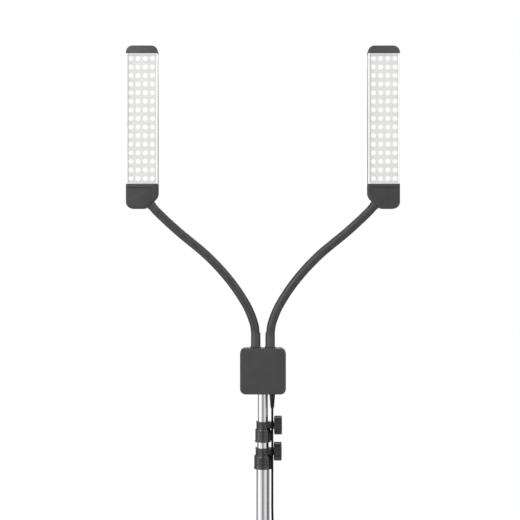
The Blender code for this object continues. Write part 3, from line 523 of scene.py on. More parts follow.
def tube_along(path, radius_at, sides):
    """A round tube over a path of points, with radius_at(i) at each, without twist."""
    path = [Vector(p) for p in path]
    side = None
    rings = []
    for i, point in enumerate(path):
        ahead = path[min(i + 1, len(path) - 1)]
        behind = path[max(i - 1, 0)]
        direction = (ahead - behind).normalized()
        if side is None:
            side = direction.orthogonal().normalized()
        side = (side - direction * side.dot(direction)).normalized()
        other = direction.cross(side)
        radius = radius_at(i)
        rings.append([point + radius * (cos(FULL_TURN * k / sides) * side
                                        + sin(FULL_TURN * k / sides) * other)
                      for k in range(sides)])
    return loft(rings)


# ---------------------------------------------------------------- power lead

CORD_R = 0.0024
CORD_SIDES = 12
CORD_STEP = 0.0035
RELIEF_SHIFT = Vector((0.0004, 0.0, 0.0))       # the lead leaves a little nearer the mast
RELIEF_PLACE = measure("strain_relief")[2] - RELIEF_SHIFT
CORD_ROUTE = (
    (0.0200, -0.0120, 0.7907), (0.0200, -0.0120, 0.7700), (0.0200, -0.0120, 0.7300),
    (0.0200, -0.0120, 0.6800), (0.0200, -0.0120, 0.6200), (0.0202, -0.0121, 0.5650),
    (0.0225, -0.0133, 0.5150), (0.0290, -0.0172, 0.4600), (0.0380, -0.0225, 0.3950),
    (0.0450, -0.0266, 0.3200), (0.0490, -0.0289, 0.2400), (0.0515, -0.0303, 0.1600),
    (0.0560, -0.0320, 0.0980), (0.0660, -0.0345, 0.0480), (0.0840, -0.0385, 0.0150),
    (0.1080, -0.0440, 0.0040), (0.1350, -0.0530, 0.0027), (0.1560, -0.0660, 0.0027),
    (0.1680, -0.0850, 0.0027), (0.1715, -0.1070, 0.0027), (0.1703, -0.1300, 0.0027),
)
TAIL_EXIT = radians(215.0)  # where the lead leaves the coil
TAIL_END = (0.2545, -0.1755, 0.0065)
TAIL_TURN_R = 0.0220
TAIL_FALL = 0.060               # length over which it comes down to the floor
TAIL_RISE = 0.036
FLOOR_Z = 0.0027
COIL_CENTRE = (0.205, -0.130)
COIL_MEAN_R = 0.0260
COIL_WIDE = 3
COIL_HIGH = 4
COIL_PITCH = 2.0 * CORD_R
COIL_START = radians(180.0)
TURN_POINTS = 40
SLIP_START = 0.34               # part of a turn after which it moves over to the next
CORD_SEAMS = (0.7600, 0.7270)   # heights where one stretch of the lead meets the next
CORD_BODIES = (("hub", "top_section"), ("top_section", "middle_section"),
               ("middle_section", "base"))
ENTRY_TURN = 0.35               # part of the first turn over which the lead settles on the coil
BLADE_SIZE = (0.0015, 0.0064)   # thickness and width of each contact blade
BLADE_SPREAD = 0.0127
RELIEF_RIBS = 7
TIE_ANGLE = radians(60.0)
TIE_HALF_WIDTH = 0.006
TIE_THICKNESS = 0.0007


def coil_turns():
    """Radius and height of each turn, layer on layer, starting at the outer side."""
    turns = []
    for layer in range(COIL_HIGH):
        columns = range(COIL_WIDE) if layer % 2 else range(COIL_WIDE - 1, -1, -1)
        for column in columns:
            radius = COIL_MEAN_R + (column - (COIL_WIDE - 1) / 2.0) * COIL_PITCH
            turns.append((radius, CORD_R + 0.0004 + layer * COIL_PITCH))
    return turns


def ease(t):
    t = min(1.0, max(0.0, t))
    return t * t * (3.0 - 2.0 * t)


def coil_points():
    """The wound stretch: circles that slip over to the next turn as they go round."""
    turns = coil_turns()
    entry_r = COIL_CENTRE[0] - CORD_ROUTE[-1][0]
    points = []
    for n, (radius, height) in enumerate(turns):
        after = turns[n + 1] if n + 1 < len(turns) else (radius, height)
        last = n + 1 == len(turns)
        span = (TAIL_EXIT - COIL_START) % FULL_TURN if last else FULL_TURN
        count = max(4, round(TURN_POINTS * span / FULL_TURN))
        for i in range(count):
            t = i / count
            slip = ease((t - SLIP_START) / (1.0 - SLIP_START))
            r = radius + (after[0] - radius) * slip
            z = height + (after[1] - height) * slip
            if n == 0:
                entry = 1.0 - ease(t / ENTRY_TURN)
                r += (entry_r - radius) * entry
                z += (CORD_ROUTE[-1][2] - height) * entry
            angle = COIL_START + span * t
            points.append((COIL_CENTRE[0] + r * cos(angle),
                           COIL_CENTRE[1] + r * sin(angle), z))
    return points


def sweep(start, heading, radius, turn, steps):
    """Points of a level arc to the left, and the heading at its end."""
    centre = Vector((start[0] - radius * sin(heading), start[1] + radius * cos(heading)))
    points = []
    for i in range(1, steps + 1):
        angle = heading + turn * i / steps
        points.append((centre.x + radius * sin(angle), centre.y - radius * cos(angle)))
    return points, heading + turn


def tail_points():
    """From the coil's last turn straight out, round to the adapter, and down to the floor."""
    radius, height = coil_turns()[-1]
    start = (COIL_CENTRE[0] + radius * cos(TAIL_EXIT),
             COIL_CENTRE[1] + radius * sin(TAIL_EXIT))
    heading = TAIL_EXIT + pi / 2.0 - FULL_TURN
    ahead = (cos(heading), sin(heading))
    corner = (TAIL_END[0] - TAIL_TURN_R, TAIL_END[1] - TAIL_TURN_R)
    reach = (-sin(heading), cos(heading) - 1.0)
    gap = (corner[0] - start[0], corner[1] - start[1])
    across = ahead[0] * reach[1] - ahead[1] * reach[0]
    sweep_r = (ahead[0] * gap[1] - ahead[1] * gap[0]) / across
    straight = (gap[0] * reach[1] - gap[1] * reach[0]) / across
    flat = [(start[0] + ahead[0] * straight * i / 12, start[1] + ahead[1] * straight * i / 12)
            for i in range(13)]
    arc, heading = sweep(flat[-1], heading, sweep_r, -heading, 12)
    end_arc, _ = sweep(arc[-1], heading, TAIL_TURN_R, pi / 2.0, 14)
    flat += arc + end_arc
    lengths = arc_lengths(np.array([(a, b, 0.0) for a, b in flat]))
    points = []
    for (a, b), gone in zip(flat, lengths):
        fall = (height - FLOOR_Z) * (1.0 - ease(gone / TAIL_FALL))
        rise = (TAIL_END[2] - FLOOR_Z) * ease(1.0 - (lengths[-1] - gone) / TAIL_RISE)
        points.append((a, b, FLOOR_Z + fall + rise))
    return points


def lead_path():
    hanging = smooth_route(CORD_ROUTE)
    path = np.vstack([hanging[:-1], coil_points(), tail_points()])
    path[:, 1] += MAST_Y
    lengths = arc_lengths(path)
    return at_length(path, np.linspace(0.0, lengths[-1], round(lengths[-1] / CORD_STEP) + 1))


def split_path(path, heights):
    """Cut the hanging part of a path where it passes each height."""
    stretches, rest = [], path
    for height in heights:
        i = int(np.argmax(rest[:, 2] < height))
        t = (rest[i - 1, 2] - height) / (rest[i - 1, 2] - rest[i, 2])
        seam = rest[i - 1] + t * (rest[i] - rest[i - 1])
        stretches.append(np.vstack([rest[:i], seam]))
        rest = np.vstack([seam, rest[i:]])
    return stretches + [rest]


def build_lead(rubber, adapter_plastic, steel):
    adapter, blades = build_adapter(adapter_plastic, steel)
    tie = build_cord_tie(rubber)
    stretches = split_path(lead_path(), CORD_SEAMS)
    for n, (path, (above, below)) in enumerate(zip(stretches, CORD_BODIES), 1):
        bm = tube_along(path, lambda i: CORD_R, CORD_SIDES)
        cord = solid(f"cord_{n}", bm, rubber, sharp=60.0)
        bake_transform(cord)
        last = n == len(CORD_BODIES)
        if last:
            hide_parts("cord", "cord_tail", "cord_coil")


def build_cord_tie(rubber):
    """A hook-and-loop strap round one side of the coil."""
    out = Vector((cos(TIE_ANGLE), sin(TIE_ANGLE), 0.0))
    along = Vector((-sin(TIE_ANGLE), cos(TIE_ANGLE), 0.0))
    half_w = COIL_WIDE * CORD_R + 0.0006
    height = COIL_HIGH * COIL_PITCH + 0.0010
    centre = Vector((COIL_CENTRE[0], COIL_CENTRE[1] + MAST_Y, 0.0)) + out * COIL_MEAN_R

    def loop_outline(grow, bottom, radius):
        w, top = half_w + grow, height + grow
        return rounded([(-w, bottom, radius), (w, bottom, radius), (w, top, radius),
                        (-w, top, radius)], 5)

    inner, outer = loop_outline(0.0, 0.0002, 0.003), loop_outline(TIE_THICKNESS, 0.0, 0.0036)
    rings = []
    for shape, facing in ((inner, -1.0), (outer, -1.0), (outer, 1.0), (inner, 1.0)):
        offset = facing * TIE_HALF_WIDTH
        rings.append([centre + out * u + along * offset + Vector((0.0, 0.0, v))
                      for u, v in shape])
    return piece("cord_tie", loft(rings, loop=True), rubber, "base", "black_rubber")


def build_adapter(plastic, steel):
    """Wall adapter: a two-part case with a parting groove, a ribbed relief and two blades."""
    low, high, middle, size = measure("wall_adapter")
    body_start, body_end = low.y + 0.020, high.y - 0.016
    centre = (middle.x, (body_start + body_end) / 2.0)
    top, groove = high.z, high.z * 0.52
    levels = ((low.z, 0.0030), (low.z + 0.0010, 0.0010), (low.z + 0.0030, 0.0),
              (groove - 0.0005, 0.0), (groove - 0.0003, 0.0005), (groove + 0.0003, 0.0005),
              (groove + 0.0005, 0.0), (top - 0.0030, 0.0), (top - 0.0010, 0.0010),
              (top, 0.0030))
    case = loft([[(a, b, z) for a, b in rectangle(size.x - 2 * inset,
                                                  body_end - body_start - 2 * inset,
                                                  0.006, centre)] for z, inset in levels])
    profile = [(0.0052, body_start + 0.002), (0.0052, body_start)]
    profile += repeated(6, 0.0050, body_start - 0.0022, -0.0029, (
        (0.0, 0.0016), (0.0, 0.0), (0.0010, -0.0003), (0.0010, -0.001)), taper=0.00026)
    profile.append((0.0030, TAIL_END[1] + MAST_Y + 0.0003))
    relief = turned(profile, (TAIL_END[0], TAIL_END[2]), "Y", 28)
    adapter = piece("adapter_case", merged(case, relief), plastic, "base", "hub_plastic",
                    "wall_adapter", sharp=35.0)
    half_t, half_w, spread = BLADE_SIZE[0] / 2.0, BLADE_SIZE[1] / 2.0, BLADE_SPREAD / 2.0
    pair = [box((x - half_t, body_end - 0.001, top / 2.0 - half_w),
                (x + half_t, high.y, top / 2.0 + half_w))
            for x in (middle.x - spread, middle.x + spread)]
    return adapter, piece("adapter_blades", merged(*pair), steel, "base", "steel", bevel=0.0004)


def build_strain_relief(rubber):
    """Tapered sleeve with rings where the lead leaves the hub."""
    low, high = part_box("strain_relief")
    tip, root = low.z, HUB_BOTTOM_Z - 0.0002
    inside = HUB_BOTTOM_Z + 0.003
    profile = [(0.0030, high.z), (0.0060, high.z), (0.0060, inside), (0.0040, inside),
               (0.0040, root), (0.0064, root), (0.0064, root - 0.0022), (0.0060, root - 0.0030)]
    profile += repeated(RELIEF_RIBS, 0.0058, root - 0.0045, -(root - tip - 0.008) / RELIEF_RIBS, (
        (0.0, 0.0), (0.0001, -0.0022), (0.0007, -0.0025), (0.0007, -0.0030)),
        taper=0.0016 / RELIEF_RIBS)
    profile += [(0.0040, tip + 0.002), (0.0036, tip)]
    piece("strain_relief_sleeve", turned(profile, RELIEF_PLACE.xy, "Z", 40), rubber, "hub",
          "black_rubber", "strain_relief", sharp=50.0)


# ---------------------------------------------------------------- goosenecks

NECK_ROUTE = (
    (0.0155, 0.0000), (0.0162, 0.0296), (0.0204, 0.0556), (0.0369, 0.0941), (0.0717, 0.1456),
    (0.1195, 0.1976), (0.1803, 0.2486), (0.2226, 0.2876), (0.2422, 0.3091),
)
NECK_R = 0.0095
NECK_SIDES = 28
RIB_PITCH = 0.0030
RIB_DEPTH = 0.00022
RIB_SHAPE = (1.0, 0.25, 0.0, 0.25)      # depth of the groove at steps along one pitch
FERRULE_R = 0.0103
FERRULE_TOP = 0.033                     # above the hub
TIP_LENGTH = 0.007
NECK_SEAMS = (0.105, 0.200, 0.297)      # arc lengths where one sleeve meets the next
NECK_BENDS = ((0.060, 0.026), (0.150, 0.043), (0.250, 0.044), (0.345, 0.042))  # middle, half
SLEEVE_NODES = ((1,), (2,), (3,), (4, 5))
SAMPLE = 0.002                          # arc length either side for a direction
NECK_CURVE = smooth_route(NECK_ROUTE, 24)
NECK_LENGTH = float(arc_lengths(NECK_CURVE)[-1])


def neck_frame(side, s):
    """Centre, direction and sideways axis of a gooseneck at an arc length."""
    x, z = at_length(NECK_CURVE, s)
    ahead = at_length(NECK_CURVE, min(s + SAMPLE, NECK_LENGTH))
    behind = at_length(NECK_CURVE, max(s - SAMPLE, 0.0))
    direction = Vector((side * (ahead[0] - behind[0]), 0.0, ahead[1] - behind[1])).normalized()
    return (Vector((side * x, MAST_Y, HUB_TOP_Z + z)), direction,
            Vector((0.0, 1.0, 0.0)).cross(direction))


def neck_ring(side, s, radius, sides=NECK_SIDES):
    centre, _, across = neck_frame(side, s)
    ring = []
    for i in range(sides):
        angle = FULL_TURN * i / sides
        ring.append(centre + radius * (cos(angle) * across
                                       + sin(angle) * Vector((0.0, 1.0, 0.0))))
    return ring


def ribbed_stations(start, end):
    """Arc lengths and radii of a sleeve with shallow round grooves, plain at both ends."""
    steps = len(RIB_SHAPE)
    count = max(1, round((end - start) / RIB_PITCH))
    pitch = (end - start) / count
    stations = []
    for n in range(count):
        for k, depth in enumerate(RIB_SHAPE):
            groove = 0.0 if n == 0 and k == 0 else depth
            stations.append((start + (n + k / steps) * pitch, NECK_R - RIB_DEPTH * groove))
    stations.append((end, NECK_R))
    return stations


def build_sleeves(label, side, sleeve_mat):
    """Four ribbed sleeves along a gooseneck, each in place of the neck nodes it covers."""
    limits = [FERRULE_TOP - 0.004, *NECK_SEAMS, NECK_LENGTH - TIP_LENGTH + 0.001]
    for n, (middle, half) in enumerate(NECK_BENDS):
        rings = [neck_ring(side, s, r) for s, r in ribbed_stations(limits[n], limits[n + 1])]
        sleeve = solid(f"{label}_sleeve_{n + 1}", loft(rings), sleeve_mat, sharp=70.0)
        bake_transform(sleeve)
        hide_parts(*[f"{label}_neck_{k}" for k in SLEEVE_NODES[n]])


def build_neck_ends(label, side, metal):
    """The ferrule on the hub, with a lip and a groove, and the tip that enters the panel."""
    foot, top = HUB_TOP_Z, HUB_TOP_Z + FERRULE_TOP
    lip = FERRULE_R + 0.0014
    profile = fillet((
        (NECK_R - 0.0004, foot - 0.006), (FERRULE_R, foot - 0.006), (FERRULE_R, foot + 0.0006),
        (lip, foot + 0.0006), (lip, foot + 0.0028), (FERRULE_R, foot + 0.0034),
        (FERRULE_R, top - 0.0062), (FERRULE_R - 0.0004, top - 0.0058),
        (FERRULE_R - 0.0004, top - 0.0050), (FERRULE_R, top - 0.0046),
        (FERRULE_R, top - 0.0010), (NECK_R + 0.0001, top), (NECK_R - 0.0004, top - 0.001)),
        0.0005, 3)
    piece(f"{label}_ferrule", turned(profile, (side * NECK_ROUTE[0][0], MAST_Y), "Z", 48), metal,
          "hub", "ferrule_metal", f"{label}_neck_ferrule")

    tip = NECK_LENGTH - TIP_LENGTH
    stations = ((tip - 0.0002, NECK_R - 0.0003), (tip, FERRULE_R - 0.0004),
                (tip + 0.0006, FERRULE_R), (tip + 0.0026, FERRULE_R),
                (tip + 0.0029, FERRULE_R - 0.0005), (tip + 0.0035, FERRULE_R - 0.0005),
                (tip + 0.0038, FERRULE_R), (NECK_LENGTH - 0.0002, FERRULE_R))
    piece(f"{label}_tip", loft([neck_ring(side, s, r, 40) for s, r in stations]), metal,
          f"{label}_head", "ferrule_metal", f"{label}_neck_tip")


# ---------------------------------------------------------------- light panels

CAP_EDGE_R = 0.0032
CAP_CORNER_R = 0.0145
CAP_EDGE = 0.0006               # corner radius where a cap meets the housing
LED_COLUMNS = 4
LED_ROWS = 15
LED_PITCH_X = 0.0155
LED_PITCH_Z = 0.01841
LED_OUTWARD = 0.0011            # the field of diodes sits this far towards the outer side
LED_UPWARD = 0.0007
LED_SIZE = 0.0050
DOME_R = 0.0028
DOME_H = 0.0006
HOUSING_WALL = 0.0020
HOUSING_FINS = 7
BEZEL_WIDTH = 0.0034
RIB_HALF = 0.0004               # half thickness of the grid between the diodes
DAYLIGHT = (1.0, 1.0, 0.99)
PAINTED_BOARD_GLOW = (0.31, 0.66)       # painted glow of the board itself: between the diodes, and close to one
EMITTER_GLOW = 0.60
HALO_FALLOFF = 1.3
PAINTED_BEZEL_GLOW = 0.08               # painted glow on the white frame, standing for light from the diodes
HALO_R = 0.0066                 # how far the light round a diode reaches on its board
GROOVE_BELOW = 0.0079           # bottom cap's groove, below its upper edge
GROOVE_WIDTH = 0.0012
GROOVE_DEPTH = 0.0014


def mirrored(outline, side, x):
    return [(side * (x + u), v) for u, v in outline]


def build_housing(label, side, mat):
    """Extruded back with cooling grooves behind and a long groove down each side."""
    low, high, middle, size = measure(f"{label}_panel_housing")
    half = size.x / 2.0
    inner, groove = half - HOUSING_WALL, middle.y + 0.002
    corners = [(inner, low.y, 0.0002), (half, low.y, 0.0004), (half, groove - 0.0014, 0.0002),
               (half - 0.0007, groove - 0.0009, 0.0002), (half - 0.0007, groove + 0.0009, 0.0002),
               (half, groove + 0.0014, 0.0002), (half, high.y, 0.0040)]
    pitch = 2.0 * (half - 0.008) / HOUSING_FINS
    back = []
    for i in range(HOUSING_FINS):
        u = half - 0.008 - (i + 0.5) * pitch
        back += [(u + pitch * share, high.y - depth, 0.0003) for share, depth in (
            (0.24, 0.0), (0.16, 0.0016), (-0.16, 0.0016), (-0.24, 0.0))]
    left = [(-u, y, r) for u, y, r in reversed(corners)]
    inside = [(-inner, high.y - 0.0030, 0.0010), (inner, high.y - 0.0030, 0.0010)]
    outline = mirrored(rounded(corners + back + left + inside, 4), side, abs(middle.x))
    piece(f"{label}_housing", loft([[(a, b, z) for a, b in outline] for z in (low.z, high.z)]),
          mat, f"{label}_head", "panel_housing", f"{label}_panel_housing", sharp=25.0)


def build_bezel(label, mat):
    """A white frame with a rounded front edge, from rings of (inset, place from the front)."""
    low, high, middle, size = measure(f"{label}_panel_bezel")
    steps = ((0.0006, low.y), (0.0, low.y + 0.0006), (0.0, high.y), (BEZEL_WIDTH, high.y),
             (BEZEL_WIDTH, low.y + 0.0010), (BEZEL_WIDTH - 0.0009, low.y + 0.0001),
             (BEZEL_WIDTH - 0.0011, low.y))
    rings = [upright(rectangle(size.x - 2 * inset, size.z - min(2 * inset, 0.004),
                               0.0004 + inset * 0.2, middle.xz, 4), y) for inset, y in steps]
    piece(f"{label}_bezel", loft(rings, loop=True), mat, f"{label}_head", "panel_bezel",
          f"{label}_panel_bezel")


def diode_middle(label, side):
    """Where the middle of the field of diodes is, across and up."""
    board = measure(f"{label}_led_board")[2]
    return board.x + side * LED_OUTWARD, board.z + LED_UPWARD


def grid_places(count, middle, pitch):
    """Places at equal steps about a middle."""
    return [middle + (i - (count - 1) / 2.0) * pitch for i in range(count)]


def build_led_sheet(label, side, board_mat, glow_mat):
    """A white board with a raised grid between its diodes, and a domed lens on each."""
    low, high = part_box(f"{label}_led_board")
    x, z = diode_middle(label, side)
    face, front, edge = low.y + 0.0010, low.y + 0.0003, 0.0005
    parts = [box((low.x, face, low.z), (high.x, high.y, high.z))]
    for u in grid_places(LED_COLUMNS + 1, x, LED_PITCH_X):
        u = min(high.x - edge, max(low.x + edge, u))
        parts.append(box((u - RIB_HALF, front, low.z), (u + RIB_HALF, face, high.z)))
    for v in grid_places(LED_ROWS + 1, z, LED_PITCH_Z):
        v = min(high.z - edge, max(low.z + edge, v))
        parts.append(box((low.x, front, v - RIB_HALF), (high.x, face, v + RIB_HALF)))
    base = face - 0.0004
    profile = [(DOME_R * cos(t), base - DOME_H * sin(t))
               for t in np.radians((0.0, 22.0, 45.0, 68.0, 88.0))]
    domes = []
    for u in grid_places(LED_COLUMNS, x, LED_PITCH_X):
        for v in grid_places(LED_ROWS, z, LED_PITCH_Z):
            parts.append(prism(rectangle(LED_SIZE, LED_SIZE, 0.0006, (u, v), 2), base, face))
            domes.append(turned(profile, (u, v), "Y", 16))
    piece(f"{label}_led_sheet", merged(*parts), board_mat, f"{label}_head", "circuit_board",
          f"{label}_led_board")
    piece(f"{label}_emitters", merged(*domes), glow_mat, f"{label}_head", "panel_lens")


def cap_loft(outline_at, half, side, x, y):
    """A cap with rounded front and back edges, from an outline that takes an inset."""
    rings = []
    for facing in (-1.0, 1.0):
        stack = []
        for turn in np.radians((90.0, 72.0, 54.0, 36.0, 18.0, 0.0)):
            inset = CAP_EDGE_R * (1.0 - cos(turn))
            depth = half - CAP_EDGE_R * (1.0 - sin(turn))
            stack.append(upright(mirrored(outline_at(inset), side, x), y + facing * depth))
        rings += stack if facing < 0.0 else stack[::-1]
    return loft(rings)


def hexagon(radius, sides=24):
    """Distances to a hexagon's edge at equal angles."""
    half = radians(30.0)
    return [radius * cos(half) / cos((FULL_TURN * i / sides + half) % (2.0 * half) - half)
            for i in range(sides)]


def socket_screw(place, radius=0.0022):
    """A button-head screw with a hexagon socket, its head towards +Y."""
    x, y, z = place
    profile = ((radius, -0.0006), (radius, 0.0002), (radius * 0.94, 0.0006),
               (radius * 0.80, 0.0009), (radius * 0.60, 0.0010),
               (hexagon(radius * 0.55), 0.0010), (hexagon(radius * 0.52), -0.0003))
    return turned([(r, y + h) for r, h in profile], (x, z), "Y", 24)


def build_top_cap(label, side, mat):
    low, high, middle, size = measure(f"{label}_top_cap")

    def outline(inset):
        w, bottom, radius = size.x / 2.0 - inset, low.z + inset * 0.2, CAP_CORNER_R - inset
        return rounded([(-w, bottom, CAP_EDGE), (w, bottom, CAP_EDGE),
                        (w, high.z - inset, radius), (-w, high.z - inset, radius)], 10)

    piece(f"{label}_upper_cap", cap_loft(outline, size.y / 2.0, side, abs(middle.x), middle.y),
          mat, f"{label}_head", "cap_plastic", f"{label}_top_cap")


def build_bottom_cap(label, side, mat):
    """The cap that the gooseneck enters: its inner corner is cut square to the neck."""
    _, _, middle, size = measure(f"{label}_top_cap")
    x, y, half_w, half = abs(middle.x), middle.y, size.x / 2.0, size.y / 2.0
    low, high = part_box(f"{label}_bottom_cap")
    end, direction, _ = neck_frame(1.0, NECK_LENGTH)
    across = Vector((direction.z, 0.0, -direction.x))

    def outline(inset):
        w, bottom, ceiling = half_w - inset, low.z + inset, high.z - inset * 0.2
        point = end + direction * (inset - 0.0012)
        to_side = (-w - (point.x - x)) / across.x
        to_bottom = (bottom - point.z) / across.z
        return rounded([
            (-w, point.z + across.z * to_side, 0.022),
            (point.x - x + across.x * to_bottom, bottom, 0.014),
            (w, bottom, CAP_CORNER_R - inset), (w, ceiling, CAP_EDGE), (-w, ceiling, CAP_EDGE)], 8)

    whole = cap_loft(outline, half, side, x, y)
    seam = high.z - GROOVE_BELOW
    ends = sorted((side * (x - half_w + 0.0125), side * (x + half_w - 0.0036)))
    for facing in (-1.0, 1.0):
        face = y + facing * half
        near, far = sorted((face, face - facing * GROOVE_DEPTH))
        whole = combine(whole, box((ends[0], near - 0.0001, seam - GROOVE_WIDTH / 2),
                                   (ends[1], far + 0.0001, seam + GROOVE_WIDTH / 2)),
                        "DIFFERENCE")
    piece(f"{label}_lower_cap", whole, mat, f"{label}_head", "cap_plastic", f"{label}_bottom_cap")


def build_cap_screws(label, side, steel):
    _, high, middle, _ = measure(f"{label}_top_cap")
    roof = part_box(f"{label}_bottom_cap")[1].z
    screws = [socket_screw((side * (abs(middle.x) + facing * spread), high.y - 0.0006, z))
              for spread, z in ((0.022, middle.z - 0.001), (0.026, roof - 0.016))
              for facing in (-1.0, 1.0)]
    piece(f"{label}_cap_screws", merged(*screws), steel, f"{label}_head", "steel")


# ---------------------------------------------------------------- hub

HUB_CORNER_R = 0.012
HUB_EDGE_R = 0.0032
HUB_WALL = 0.0025
HUB_HALF = 0.021                # depth of each half of the case
HUB_REAR = MAST_Y + HUB_HALF
PARTING = 0.0002                # half the gap between the two halves
PARTING_EDGE = 0.0007
DIMMER_X = 0.029
CONTROL_Z = measure("power_button")[2].z
LOCK_KNOB_Z = measure("lock_knob")[2].z
SLOT_Z = 0.868
SLOT_PITCH = 0.006
SLOT_COUNT = 7
DIAL_R = 0.0148                 # ring of dots round each dimmer
DIAL_DOTS = 11


def hub_shell(open_y, closed_y):
    """Half of the hub's case: open at the parting plane, rounded at its closed face."""
    facing = 1.0 if closed_y > open_y else -1.0

    def ring(inset, y):
        return upright(rectangle(HUB_SIZE.x - 2 * inset, HUB_SIZE.z - 2 * inset,
                                 HUB_CORNER_R - inset, (0.0, HUB_MIDDLE.z), 14), y)

    rings = [ring(HUB_WALL, closed_y - facing * HUB_WALL), ring(HUB_WALL, open_y),
             ring(PARTING_EDGE, open_y), ring(0.0, open_y + facing * PARTING_EDGE)]
    for turn in np.radians((0.0, 15.0, 30.0, 45.0, 60.0, 75.0, 90.0)):
        rings.append(ring(HUB_EDGE_R * (1.0 - cos(turn)),
                          closed_y - facing * HUB_EDGE_R * (1.0 - sin(turn))))
    return loft(rings)


def fluted_knob(stations, flutes, depth, centre, axis, sides=96):
    """A knob from (position, radius, share of the flute depth) stations along an axis."""
    waves = [0.5 * depth * (1.0 - cos(FULL_TURN * flutes * i / sides)) for i in range(sides)]
    return turned([([radius * (1.0 - share * wave) for wave in waves], place)
                   for place, radius, share in stations], centre, axis, sides)


def build_rear_cover(mat):
    """The back of the case, with vent slots, a rim round each control and dots round the dials."""
    slots = [prism(rectangle(0.0034, 0.0180, 0.0016, (x, SLOT_Z), 6),
                   HUB_REAR - 0.006, HUB_REAR + 0.004)
             for x in grid_places(SLOT_COUNT, 0.0, SLOT_PITCH)]
    parts = [combine(hub_shell(MAST_Y + PARTING, HUB_REAR), merged(*slots), "DIFFERENCE")]
    for x, r in ((-DIMMER_X, 0.0122), (DIMMER_X, 0.0122), (0.0, 0.0088)):
        rim = fillet(((r - 0.0012, HUB_REAR - 0.0004), (r - 0.0012, HUB_REAR + 0.0005),
                      (r + 0.0006, HUB_REAR + 0.0005), (r + 0.0006, HUB_REAR - 0.0004)),
                     0.0003, 3)
        parts.append(turned(rim, (x, CONTROL_Z), "Y", 48, loop=True))
    dot = ((0.0006, HUB_REAR - 0.0004), (0.0006, HUB_REAR + 0.0002), (0.0004, HUB_REAR + 0.0003))
    for angle in np.radians(grid_places(DIAL_DOTS, 90.0, -27.0)):
        for x in (-DIMMER_X, DIMMER_X):
            place = (x + DIAL_R * cos(angle), CONTROL_Z + DIAL_R * sin(angle))
            parts.append(turned(dot, place, "Y", 12))
    piece("hub_rear", merged(*parts), mat, "hub", "hub_plastic", "hub_rear_cover")


def build_dimmer(label, side, mat):
    low, high, middle, size = measure(f"{label}_dimmer_knob")
    x, z, r = side * DIMMER_X, middle.z, size.x / 2.0
    start, end, dish = HUB_REAR + 0.0008, high.y, high.y - 0.0006
    grip = fluted_knob(((low.y, 0.0029, 0.0), (start, 0.0029, 0.0), (start, r * 0.93, 0.6),
                        (start + 0.0006, r, 1.0), (end - 0.0012, r * 0.97, 1.0),
                        (end - 0.0003, r * 0.90, 0.6), (end, r * 0.84, 0.0),
                        (end, r * 0.62, 0.0), (dish, r * 0.56, 0.0), (dish, 0.0005, 0.0)),
                       10, 0.12, (x, z), "Y")
    pointer = box((x - 0.0005, end - 0.0008, z + r * 0.20),
                  (x + 0.0005, end - 0.0001, z + r * 0.86))
    piece(f"{label}_dimmer_grip", merged(grip, pointer), mat, f"{label}_dimmer", "knob_plastic",
          f"{label}_dimmer_knob")


def build_power_button(mat):
    low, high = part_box("power_button")
    r = 0.0055
    profile = fillet(((0.0072, low.y), (0.0072, low.y + 0.0015), (r, low.y + 0.0015),
                      (r, high.y - 0.0006), (r - 0.0007, high.y), (0.0030, high.y - 0.0004),
                      (0.0004, high.y - 0.0005)), 0.0004, 3)
    piece("power_push", turned(profile, (0.0, CONTROL_Z), "Y", 40), mat, "power_button",
          "knob_plastic", "power_button")


def star_grip(node, start, steps, z):
    """A six-lobed knob on a plain shank along Y, with a stepped back and a dished face."""
    low, high, _, size = measure(node)
    r, end, dish = size.x / 2.0, high.y, high.y - 0.0008
    return fluted_knob(((low.y, 0.0038, 0.0), (start, 0.0038, 0.0), (start, r * 0.55, 0.0),
                        (start + steps[0], r * 0.72, 0.4), (start + steps[1], r * 0.97, 1.0),
                        (start + steps[2], r, 1.0), (end - 0.0012, r, 1.0),
                        (end - 0.0003, r * 0.94, 0.8), (end, r * 0.86, 0.5),
                        (end, r * 0.50, 0.0), (dish, r * 0.45, 0.0), (dish, 0.0005, 0.0)),
                       6, 0.14, (0.0, z), "Y")


def build_hub(case_mat, knob_mat, steel):
    piece("hub_front", hub_shell(MAST_Y - PARTING, MAST_Y - HUB_HALF), case_mat, "hub",
          "hub_plastic", "hub_front_shell")
    build_rear_cover(case_mat)
    screws = [socket_screw((x, HUB_REAR - 0.0004, z), radius=0.0024) for x in (-0.0405, 0.0405)
              for z in (HUB_BOTTOM_Z + 0.009, HUB_TOP_Z - 0.009)]
    piece("hub_screws", merged(*screws), steel, "hub", "steel")
    for label, side in SIDES:
        build_dimmer(label, side, knob_mat)
    build_power_button(knob_mat)
    grip = star_grip("lock_knob", HUB_REAR + 0.002, (0.0030, 0.0036, 0.0044), LOCK_KNOB_Z)
    piece("lock_grip", grip, knob_mat, "lock_knob", "knob_plastic", "lock_knob")


# ---------------------------------------------------------------- mast

COLLARS = (
    # name, body, clamp ring radius, sleeve radius, bore radius, ribs on the sleeve, knob's inset
    ("upper", "middle_section", 0.01425, 0.01650, 0.0113, 2, 0.0009),
    ("lower", "base", 0.01600, 0.01875, 0.0128, 6, 0.0016),
)
TUBES = (("top_tube", "top_section"), ("middle_tube", "middle_section"), ("lower_tube", "base"))
TUBE_WALL = 0.0011
RING_RIDGES = 5
RING_H = 0.016
BOSS_R = 0.0080
BOSS_END_X = 0.0235
KNOB_START_X = 0.0248           # back of a grip, before its inset towards the mast
KNOB_BANDS = 3
THREAD_R = 0.0032
THREAD_PITCH = 0.0009
GUSSET_Y = 0.0052               # of the two gussets, either side of the screw


